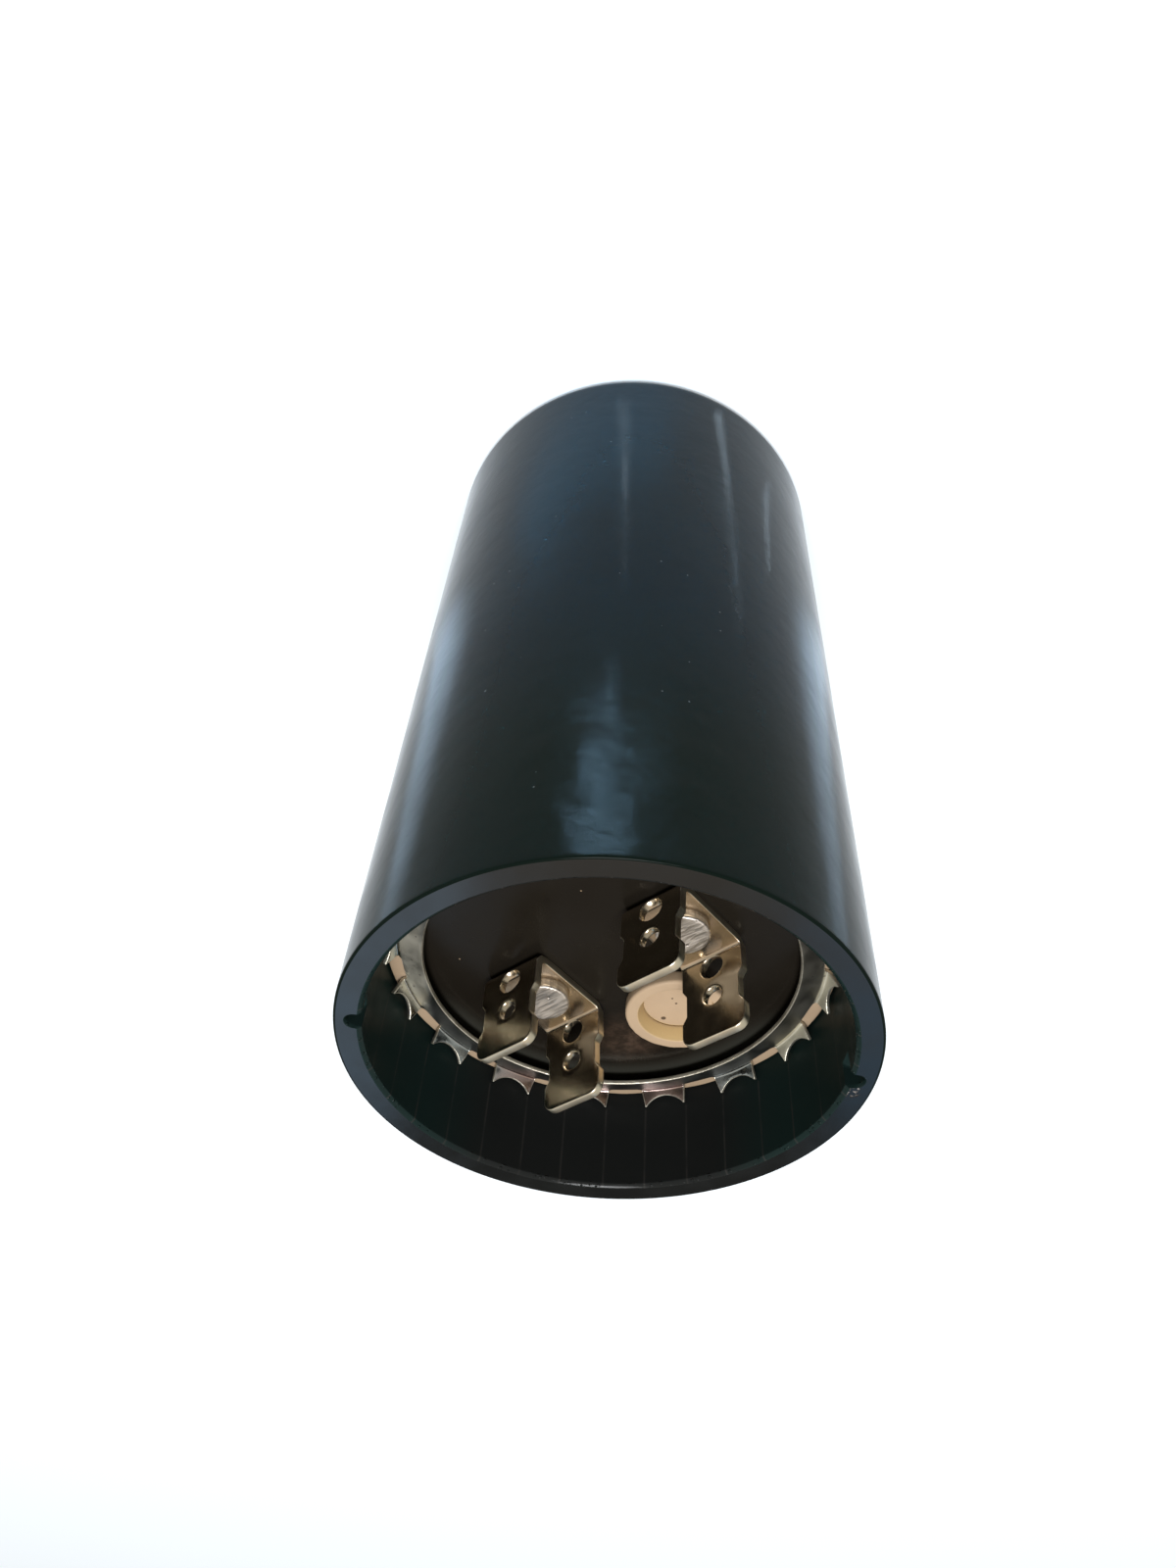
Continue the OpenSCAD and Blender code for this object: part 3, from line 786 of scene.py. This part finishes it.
class CAPACITOR_OT_case(bpy.types.Operator):
    """Moulded case, open at the top, with two notches in its rim"""

    bl_idname = "capacitor.case"
    bl_label = "Case"

    def execute(self, context):
        size = sizes("case")
        radius, wall, bore = size.radius, size.wall, size.bore
        top, ledge, base = size.height, size.ledge, size.base
        foot, rim, bevel = size.foot, size.rim_round, size.rim_bevel
        # Points of the profile stand close to each corner, so that smooth shading keeps it crisp.
        outer = np.vstack((
            ((0.0, 0.0), (10.0, 0.0), (radius - foot - 0.6, 0.0)),
            arc(radius - foot, foot, foot, -90.0, 0.0, 15),
            np.linspace((radius, foot + 0.5), (radius, top - rim - 0.3), 9),
            arc(radius - rim, top - rim, rim, 0.0, 90.0, 8),
        ))
        face = np.linspace((radius - rim - 0.06, top), (wall + bevel + 0.1, top), 8)
        # The two edges of the bevel have a small round.
        soft = 0.1
        inner = np.vstack((
            arc(wall + bevel + 0.04, top - soft, soft, 90.0, 135.0, 3),
            arc(wall + soft, top - bevel - 0.04, soft, 135.0, 180.0, 3),
            np.linspace((wall, top - bevel - 0.15), (wall, top - 3.6), 22),
            ((wall, ledge + 6.0), (wall, ledge + 3.0), (wall, ledge + 0.2)),
            ((wall, ledge), (wall - 0.2, ledge), (bore + 0.2, ledge), (bore, ledge)),
            ((bore, ledge - 0.2), (bore, 40.0), (bore, base + 0.2)),
            ((bore, base), (bore - 0.2, base), (bore / 2.0, base), (0.0, base)),
        ))
        profile = np.vstack((outer, face, inner))
        # Angles stand close together at the notches.
        half = size.notch_width / 2.0
        mid = (wall + radius) / 2.0
        across = np.concatenate((np.linspace(-half, half, 29), (-half - 0.05, half + 0.05)))
        notches = np.array(((size.notch_angle,), (size.second_angle,)))
        angles = np.concatenate((around(320), (notches + across / mid).ravel()))
        angles = np.unique(np.round(np.mod(angles, FULL_TURN), 5))
        # A notch moves the wall outwards by reach times (1 - (x / half width)^2) to the power 0.45,
        # and draws the rim's face together by the same amount.  It runs out at its lower end.
        run_out = 0.35
        off = np.abs(np.mod(angles - notches + math.pi, FULL_TURN) - math.pi).min(axis=0)
        share = np.clip(1.0 - (off * mid / half) ** 2, 0.0, 1.0) ** 0.45
        rise = np.clip((profile[:, 1] - (top - size.notch_depth)) / run_out, 0.0, 1.0)
        nearness = np.clip((radius - rim - profile[:, 0]) / (radius - rim - wall), 0.0, 1.0)
        shift = size.notch_reach * np.outer(rise * nearness, share)
        points, faces = revolved(profile, angles, out=shift)
        # Rows of faces: the outside, the rim's face and the inside, then the two ends on the axis
        zones = np.zeros(len(profile) - 1)
        zones[len(outer) - 2:] = 1
        zones[len(outer) + len(face) - 2:] = 2
        zones[-2:] = (0, 2)
        zones = np.repeat(zones, len(angles))
        finishes = (case_finish(), rim_finish(), inside_finish())
        new_piece("moulded_case", "case", points, faces, finishes, 50.0, zones=zones)
        return {"FINISHED"}


class CAPACITOR_OT_header(bpy.types.Operator):
    """Finish of the moulded header disc"""

    bl_idname = "capacitor.header"
    bl_label = "Header disc"

    def execute(self, context):
        dress("header_disc", header_finish())
        return {"FINISHED"}


class CAPACITOR_OT_gasket(bpy.types.Operator):
    """Rubber gasket that swells a little between the teeth of the ring"""

    bl_idname = "capacitor.gasket"
    bl_label = "Gasket"

    def execute(self, context):
        low = GASKET_LOW[2]
        high = GASKET_HIGH[2]
        outer = GASKET_HIGH[0]
        inner = WALL_RADIUS - 1.75
        corner = 0.2
        profile = np.vstack((
            ((inner, low), (outer, low)),
            arc(outer - corner, high - corner, corner, 0.0, 90.0, 5),
            np.linspace((outer - 2.0 * corner, high), (inner + 2.0 * corner, high), 6),
            arc(inner + corner, high - corner, corner, 90.0, 180.0, 5),
        ))
        angles = around(384)
        # Between two teeth the top rises by up to the swell, as a squared cosine of the angle.
        gap = np.clip(np.cos(angles * RING_TEETH - math.pi), 0.0, 1.0) ** 2
        lift = np.where(profile[:, 1] > high - 1.25 * corner, GASKET_SWELL, 0.0)
        points, faces = revolved(profile, angles, up=np.outer(lift, gap), closed=True)
        # The gasket's rubber is drawn darker than the vent plug's: painted shade of the gap it lies in
        # under the ring
        rubber = rubber_finish("gasket_rubber", 0.78)
        new_piece("rubber_gasket", "gasket", points, faces, (rubber,), 50.0)
        return {"FINISHED"}


class CAPACITOR_OT_ring(bpy.types.Operator):
    """Toothed retaining ring, folded from one sheet"""

    bl_idname = "capacitor.ring"
    bl_label = "Retaining ring"

    def execute(self, context):
        size = sizes("ring")
        place = size.fold_place
        bend = size.fold + size.sheet / 2.0
        centre = GASKET_HIGH[2] + GASKET_SWELL + size.fold + size.sheet
        band = -size.band_rise * bend
        tooth = size.tooth_rise * bend
        inner_end = band - size.band
        tip = tooth + size.tooth

        def section(along, height):
            """Point (r, z) at a distance along the sheet: an arc with a straight line at each end."""
            angle = np.clip(along / bend, -size.band_rise, size.tooth_rise)
            rest = along - angle * bend
            r = place + (bend - height) * np.sin(angle) + rest * np.cos(angle)
            z = centre - (bend - height) * np.cos(angle) + rest * np.sin(angle)
            return r, z

        walk = np.linspace(inner_end, tip, 400)
        reach = section(walk, 0.0)[0]
        outline = self.teeth(size, walk, reach)
        angles = around(448)
        circle = np.column_stack((np.cos(angles), np.sin(angles)))
        hole = (place + inner_end) * circle * (1.0, -1.0)
        rows = np.concatenate((
            np.linspace(inner_end + 0.3, band, 6),
            np.linspace(band, tooth, 10)[1:],
            np.linspace(tooth, tip, 7)[1:-1],
        ))
        loops = (outline, hole)
        lattice = ((place + rows)[:, None, None] * circle).reshape(-1, 2)
        lattice = clear_of(lattice, loops, margin=0.13)
        points, faces, cut = sheet_blank(loops, (EDGE_ROUND, EDGE_ROUND), (1.0, 1.0), lattice, size.sheet)
        # Each tooth is dished past the fold: its sides stand up by the square of the offset from
        # the tooth's middle over its half width, times a tenth of a millimetre.
        half_width = 2.1
        far = np.hypot(points[:, 0], points[:, 1])
        step = math.radians(RING_PITCH)
        swing = np.arctan2(points[:, 1], points[:, 0])
        offset = far * np.sin(np.mod(swing + step / 2.0, step) - step / 2.0)
        dish = 0.1 * (offset / half_width) ** 2 * np.clip((far - place - 0.2) / 0.8, 0.0, 1.0)
        r, z = section(far - place, points[:, 2] + dish)
        folded = np.column_stack((points[:, :2] * (r / far)[:, None], z))
        plating = (ring_finish(),)
        new_piece("retaining_ring", "retaining_ring", folded, faces, plating, 40.0, cut)
        return {"FINISHED"}

    def teeth(self, size, walk, reach):
        """Outline of the teeth on the flat sheet.

        A gap's side is its root, a round corner and a slanting flank, drawn in plan and laid
        flat: the radius becomes the distance along the sheet.  A tooth's end is a hollow arc,
        whose radius is (s^2 + d^2) / 2d for a half chord s and a depth d.
        """
        half_root = size.gap_root / 2.0
        corner = size.gap_corner
        root = size.fold_place - size.gap_inset
        side = np.vstack((
            np.linspace((root, 0.15), (root, half_root - corner - 0.1), 4),
            arc(root + corner, half_root - corner, corner, 180.0, 90.0, 7),
            np.linspace((root + corner + 0.02, half_root), (reach[-1] * 0.9955, size.gap_mouth / 2.0), 7),
        ))
        far = np.hypot(side[:, 0], side[:, 1])
        side *= ((size.fold_place + np.interp(far, reach, walk)) / far)[:, None]
        after = turned(side, -RING_PITCH / 2.0)
        before = turned((side * (1.0, -1.0))[::-1], RING_PITCH / 2.0)
        span = abs(after[-1, 1]) - size.land
        depth = size.hollow
        radius = (span * span + depth * depth) / (2.0 * depth)
        swing = math.degrees(math.asin(span / radius))
        end = arc(after[-1, 0] - depth + radius, 0.0, radius, 180.0 + swing, 180.0 - swing, 21)
        tooth = np.vstack((after, end, before))
        return np.vstack([turned(tooth, RING_PITCH * number) for number in range(RING_TEETH)])


class CAPACITOR_OT_terminals(bpy.types.Operator):
    """Two terminals, each a flat blank with holes, folded up into two tabs"""

    bl_idname = "capacitor.terminals"
    bl_label = "Terminals"

    def execute(self, context):
        size = sizes("terminal")
        plating = (terminal_finish(),)
        self.fold_up("terminal_a", size, (size.lean_a_vent, size.lean_a_far), plating)
        self.fold_up("terminal_b", size, (size.lean_b_vent, size.lean_b_far), plating)
        return {"FINISHED"}

    def fold_up(self, name, size, leans, plating):
        """Folds one terminal.

        The blank is a strip along Y.  Past the flat plate it follows an arc, and then a straight
        line at the angle of the fold: the arc's angle is the distance over the bend radius.
        """
        low, high = node_box(name)
        half = size.width / 2.0
        corner = size.corner
        bend = size.fold + size.sheet / 2.0
        plates = np.array((size.vent_reach, size.far_reach)) - size.fold
        folds = math.pi / 2.0 - np.array(leans)
        outlines = []
        holes = []
        rows = []
        for side, plate, fold in zip((1.0, -1.0), plates, folds):
            start = plate + fold * bend
            tip = start + (size.height - size.fold)
            waist = start + size.waist_height - size.fold
            reach = size.waist_length / 2.0
            # The waist has a straight floor and two ramps: its depth is a clipped linear rise.
            ramp = 0.7
            along = np.linspace(waist - reach, waist + reach, 25)
            ramps = np.clip((reach - np.abs(along - waist)) / ramp, 0.0, 1.0)
            outlines.append(np.vstack((
                np.linspace((half, 0.4), (half, waist - reach - 0.3), 10),
                np.column_stack((half - size.waist_depth * ramps, along)),
                np.linspace((half, waist + reach + 0.3), (half, tip - corner - 0.2), 3),
                arc(half - corner, tip - corner, corner, 0.0, 90.0, 9),
                np.linspace((half - corner - 0.3, tip), (0.3, tip), 5),
            )))
            for bore, height in (
                (size.large_hole, size.large_height),
                (size.small_hole, size.small_height),
            ):
                centre = side * (start + height - size.fold)
                holes.append(arc(0.0, centre, bore / 2.0, 360.0, 0.0, 41)[:-1])
            rows += [
                side * np.linspace(0.5, plate, 6),
                side * np.linspace(plate, start, 10)[1:],
                side * np.linspace(start, start + 8.6, 12)[1:],
            ]
        rivet_hole = 1.65
        holes.append(arc(0.0, 0.0, rivet_hole, 360.0, 0.0, 33)[:-1])
        vent, far = outlines
        outline = np.vstack((
            vent,
            (vent * (-1.0, 1.0))[::-1],
            far * (-1.0, -1.0),
            (far * (1.0, -1.0))[::-1],
        ))
        loops = [outline] + holes
        lattice = np.stack(np.meshgrid(np.linspace(-half, half, 23), np.concatenate(rows)), axis=-1)
        lattice = clear_of(lattice.reshape(-1, 2), loops, margin=0.16)
        # Rounds of the outline, of each tab's large and small hole, and of the rivet's hole; the
        # holes' edges are less bright
        edges = (EDGE_ROUND, 0.12, 0.2, 0.12, 0.2, 0.05)
        marks = [1.0] + [0.3] * len(holes)
        points, faces, cut = sheet_blank(loops, edges, marks, lattice, size.sheet)
        side = np.sign(points[:, 1])
        which = np.where(side > 0.0, 0, 1)
        past = np.abs(points[:, 1]) - plates[which]
        angle = np.clip(past / bend, 0.0, folds[which])
        rest = past - angle * bend
        lift = bend - points[:, 2]
        x = points[:, 0] + (low[0] + high[0]) / 2.0
        y = side * (plates[which] + lift * np.sin(angle) + rest * np.cos(angle))
        z = low[2] + size.sheet / 2.0 + bend - lift * np.cos(angle) + rest * np.sin(angle)
        folded = np.column_stack((x, y, z))
        new_piece("folded_" + name, name, folded, faces, plating, 40.0, cut)


class CAPACITOR_OT_vent(bpy.types.Operator):
    """Rubber vent plug with a recessed thin floor and a slight flash on its edge"""

    bl_idname = "capacitor.vent"
    bl_label = "Vent plug"

    def execute(self, context):
        size = sizes("vent")
        flange, recess, hollow = size.flange, size.recess, size.hollow
        neck, lip = size.neck, size.lip
        bottom, top = VENT_LOW[2], VENT_HIGH[2]
        under, board = DISC_LOW[2], DISC_HIGH[2]
        floor = top - size.depth
        ceiling = floor - size.membrane
        mouth = recess + size.taper
        profile = np.vstack((
            ((0.0, ceiling), (hollow / 2.0, ceiling), (hollow, ceiling)),
            ((hollow, bottom), (lip - 0.2, bottom), (lip, bottom + 0.2), (lip, under)),
            ((neck, under), (neck, board), (flange - 0.15, board)),
            arc(flange - 0.2, board + 0.25, 0.2, -60.0, 0.0, 4),
            arc(flange - 0.3, top - 0.3, 0.3, 0.0, 90.0, 7),
            ((mouth + 0.35, top),),
            arc(mouth + 0.15, top - 0.15, 0.15, 90.0, 180.0, 5),
            arc(recess + 0.2, floor + 0.2, 0.2, 180.0, 270.0, 5),
            ((recess - 0.2, floor), (recess / 2.0, floor), (0.0, floor)),
        ))
        angles = around(160)
        # The flash moves the edge in by a few waves of sine, most on the side of the ring.
        deepest = 0.09
        wave = 0.5 + 0.5 * np.sin(23.0 * angles + 2.0 * np.sin(5.0 * angles))
        flash = deepest * wave * np.clip(np.sin(angles + 0.6), 0.0, 1.0)
        edge = np.clip((profile[:, 0] - flange + 0.3) / 0.3, 0.0, 1.0)
        points, faces = revolved(profile, angles, out=-np.outer(edge, flash))
        points += VENT_AXIS
        rubber = rubber_finish("vent_rubber", 1.0)
        new_piece("rubber_vent_plug", "vent_plug", points, faces, (rubber,), 50.0)
        return {"FINISHED"}


class CAPACITOR_OT_rivets(bpy.types.Operator):
    """Rivets with flat brushed heads"""

    bl_idname = "capacitor.rivets"
    bl_label = "Rivets"

    def execute(self, context):
        size = sizes("rivet")
        head, shank, tail = size.head, size.shank, size.tail
        bottom, top = RIVET_LOW[2], RIVET_HIGH[2]
        under = bottom + size.tail_height
        seat = top - size.head_height
        corner = 0.2
        dish = 0.05
        profile = np.vstack((
            ((0.0, bottom), (tail - 2.0 * corner, bottom)),
            arc(tail - corner, bottom + corner, corner, -90.0, 0.0, 5),
            ((tail, under), (shank, under), (shank, seat), (head - 0.1, seat)),
            arc(head - corner, top - corner, corner, -60.0, 90.0, 9),
            ((head - 0.5, top), (head - 1.2, top - 0.03), (head / 3.0, top - dish), (0.0, top - dish)),
        ))
        metal = (rivet_finish(),)
        points, faces = revolved(profile, around(96))
        for name in ("rivet_a", "rivet_b"):
            low, high = node_box(name)
            placed = points + (low + high) / 2.0 * (1.0, 1.0, 0.0)
            new_piece("headed_" + name, name, placed, faces, metal, 40.0)
        return {"FINISHED"}


class CAPACITOR_OT_inner_parts(bpy.types.Operator):
    """Finish of the parts under the header: washers, lead strips and the wound roll"""

    bl_idname = "capacitor.inner_parts"
    bl_label = "Inner parts"

    def execute(self, context):
        metal = lead_finish()
        for name in ("lead_a", "lead_b", "washer_a", "washer_b"):
            dress(name, metal)
        dress("winding", winding_finish())
        return {"FINISHED"}


# Lights are placed towards the camera, to the picture's right and up.
# Lamps, aimed at one point on the axis: name, setting and share of its power, place and size in
# metres, colour
LAMPS_AIM = Vector((0.0, 0.0, 0.06))
LAMPS = (
    ("overhead", "overhead", 1.0, (0.30, 0.0, 1.0), (0.35, 0.35), (0.96, 0.98, 1.0)),
    ("left", "side", 1.0, (-0.70, -0.25, 0.70), (0.26, 0.36), (0.48, 0.73, 1.0)),
    ("right", "side", 0.5, (-0.70, 0.285, 0.69), (0.26, 0.36), (0.25, 0.60, 1.0)),
)

# Beams, which shine straight down and leave soft pools on the floor for the glossy wall to mirror:
# name, setting and share of its power, place and size in millimetres, turn about the upright and
# angle by which the rays part in degrees, colour
POOL_BLUE = (0.62, 0.82, 1.0)
GLOW_BLUE = (0.45, 0.75, 1.0)
DEEP_BLUE = (0.04, 0.55, 1.0)
PALE_BLUE = (0.75, 0.90, 1.0)
BEAMS = (
    ("pool_left", "pool", 0.85, (-11.0, -84.0, 30.0), (20.0, 84.0), 17.0, 28.0, POOL_BLUE),
    ("pool_right", "pool", 0.58, (-13.0, 81.0, 30.0), (20.0, 84.0), -13.0, 28.0, POOL_BLUE),
    ("glow_front", "glow", 0.53, (101.0, -8.0, 25.0), (12.0, 30.0), 0.0, 60.0, GLOW_BLUE),
    ("glow_wide", "glow", 0.13, (88.0, -2.0, 25.0), (24.0, 64.0), 0.0, 60.0, GLOW_BLUE),
    ("glow_left", "glow", 0.12, (87.0, -19.0, 15.0), (6.0, 14.0), 0.0, 50.0, GLOW_BLUE),
    ("glow_near", "glow", 0.06, (78.0, -8.0, 15.0), (5.0, 4.0), 0.0, 40.0, GLOW_BLUE),
    ("glow_foot", "glow", 0.019, (31.0, -13.0, 18.0), (14.0, 38.0), 0.0, 50.0, DEEP_BLUE),
    ("streak_front", "strip", 1.2, (36.8, -2.7, 2.0), (5.0, 0.4), 0.0, 20.0, PALE_BLUE),
    ("streak_faint", "strip", 0.4, (39.0, -2.7, 5.0), (26.0, 1.4), 0.0, 40.0, PALE_BLUE),
    ("streak_right", "strip", 0.6, (28.5, 26.0, 2.0), (32.0, 1.0), -66.0, 40.0, PALE_BLUE),
    ("streak_end", "strip", 0.18, (17.0, 30.0, 2.0), (13.0, 0.8), -82.0, 40.0, PALE_BLUE),
)


class CAPACITOR_OT_stage(bpy.types.Operator):
    """Pale floor, soft lights and the camera"""

    bl_idname = "capacitor.stage"
    bl_label = "Stage"

    def execute(self, context):
        scene = context.scene
        mesh = bpy.data.meshes.new("studio_floor")
        radius = 3.5
        edge = arc(0.0, 0.0, radius, 0.0, 360.0, 97)[:-1]
        corners = np.column_stack((edge, np.zeros(len(edge))))
        mesh.from_pydata(corners.tolist(), [], [tuple(range(len(edge)))])
        mesh.materials.append(floor_finish())
        floor = bpy.data.objects.new("studio_floor", mesh)
        scene.collection.objects.link(floor)
        choice = settings().stage
        self.set_camera(scene, choice.lens)
        self.set_surroundings(scene, choice.ambient)
        self.set_lights(scene, choice)
        scene.view_settings.view_transform = "Standard"
        return {"FINISHED"}

    def set_camera(self, scene, lens):
        """Places the camera at the angle of the photograph."""
        right = Vector((-0.778320, 0.625595, -0.053368))
        up = Vector((-0.446477, -0.611222, -0.653503))
        back = Vector((-0.441448, -0.484807, 0.755040))
        stand = Matrix((right, up, back)).transposed().to_4x4()
        stand.translation = Vector((-53.669, -63.960, 147.606)) * MM
        data = bpy.data.cameras.new("camera")
        data.sensor_width = 36.0
        data.lens = lens
        data.clip_start = 0.01
        camera = bpy.data.objects.new("camera", data)
        camera.matrix_world = stand
        scene.collection.objects.link(camera)
        scene.camera = camera

    def set_surroundings(self, scene, strength):
        """Surroundings that are dim near the ground, warm higher up, and paler to both sides.

        The share of the pale colour grows with the sideways part of the direction.  The camera
        itself sees a plain pale background.
        """
        scene.world = bpy.data.worlds.new("studio")
        scene.world.use_nodes = True
        sky = Nodes(scene.world.node_tree)
        facing = sky.add("ShaderNodeTexCoord").outputs["Generated"]
        sideways = sky.sum_of("ABSOLUTE", sky.measure("DOT_PRODUCT", facing, RIGHTWARDS))
        height = sky.ramp(sky.measure("DOT_PRODUCT", facing, UP), 0.50, 0.85)
        ahead = sky.blend(height, (0.08, 0.075, 0.065), (0.72, 0.61, 0.50))
        all_round = sky.blend(sky.ramp(sideways, 0.25, 0.8), ahead, (0.60, 0.59, 0.54))
        seen = sky.add("ShaderNodeLightPath").outputs["Is Camera Ray"]
        background = sky.tree.nodes["Background"]
        sky.put(background.inputs[0], sky.blend(seen, all_round, (0.90, 0.92, 0.94)))
        background.inputs[1].default_value = strength

    def set_lights(self, scene, choice):
        """Sets the lamps and the beams."""
        for name, setting, share, place, size, tint in LAMPS:
            lamp = self.area_light(scene, name, "ELLIPSE", size, getattr(choice, setting) * share, tint)
            lamp.location = self.about_sight(place)
            lamp.rotation_euler = (LAMPS_AIM - lamp.location).to_track_quat("-Z", "Y").to_euler()
        for name, setting, share, place, size, swing, angle, tint in BEAMS:
            power = getattr(choice, setting) * share
            beam = self.area_light(scene, name, "RECTANGLE", (size[0] * MM, size[1] * MM), power, tint)
            beam.data.spread = math.radians(angle)
            along = Matrix.Rotation(math.radians(swing), 3, "Z") @ TOWARDS
            stand = Matrix((along, UP.cross(along), UP)).transposed().to_4x4()
            stand.translation = self.about_sight(place) * MM
            beam.matrix_world = stand

    def about_sight(self, place):
        """A place that is given towards the camera, to the right and up."""
        return TOWARDS * place[0] + RIGHTWARDS * place[1] + UP * place[2]

    def area_light(self, scene, name, shape, size, power, tint):
        """A new area light that the camera doesn't see."""
        data = bpy.data.lights.new(name, "AREA")
        data.shape = shape
        data.size, data.size_y = size
        data.energy = power
        data.color = tint
        light = bpy.data.objects.new(name, data)
        light.visible_camera = False
        scene.collection.objects.link(light)
        return light


PIECES = (
    CAPACITOR_OT_case,
    CAPACITOR_OT_header,
    CAPACITOR_OT_gasket,
    CAPACITOR_OT_ring,
    CAPACITOR_OT_terminals,
    CAPACITOR_OT_vent,
    CAPACITOR_OT_rivets,
    CAPACITOR_OT_inner_parts,
    CAPACITOR_OT_stage,
)


class CAPACITOR_PT_panel(bpy.types.Panel):
    """Lists the pieces of the capacitor"""

    bl_idname = "CAPACITOR_PT_panel"
    bl_label = "Capacitor"
    bl_space_type = "VIEW_3D"
    bl_region_type = "UI"
    bl_category = "Capacitor"

    def draw(self, context):
        for piece in PIECES:
            self.layout.operator(piece.bl_idname)


GROUPS = (
    CaseSizes,
    RingSizes,
    TerminalSizes,
    VentSizes,
    RivetSizes,
    Finishes,
    StageSettings,
    CapacitorSettings,
)
CLASSES = GROUPS + PIECES + (CAPACITOR_PT_panel,)


def register():
    """Adds the settings, the operators and the panel."""
    for item in CLASSES:
        bpy.utils.register_class(item)
    bpy.types.Scene.capacitor = bpy.props.PointerProperty(type=CapacitorSettings)


def unregister():
    """Takes them away again."""
    del bpy.types.Scene.capacitor
    for item in reversed(CLASSES):
        bpy.utils.unregister_class(item)


def main():
    """Registers the classes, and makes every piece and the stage."""
    register()
    bpy.ops.capacitor.case()
    bpy.ops.capacitor.header()
    bpy.ops.capacitor.gasket()
    bpy.ops.capacitor.ring()
    bpy.ops.capacitor.terminals()
    bpy.ops.capacitor.vent()
    bpy.ops.capacitor.rivets()
    bpy.ops.capacitor.inner_parts()
    bpy.ops.capacitor.stage()


if __name__ == "__main__":
    main()
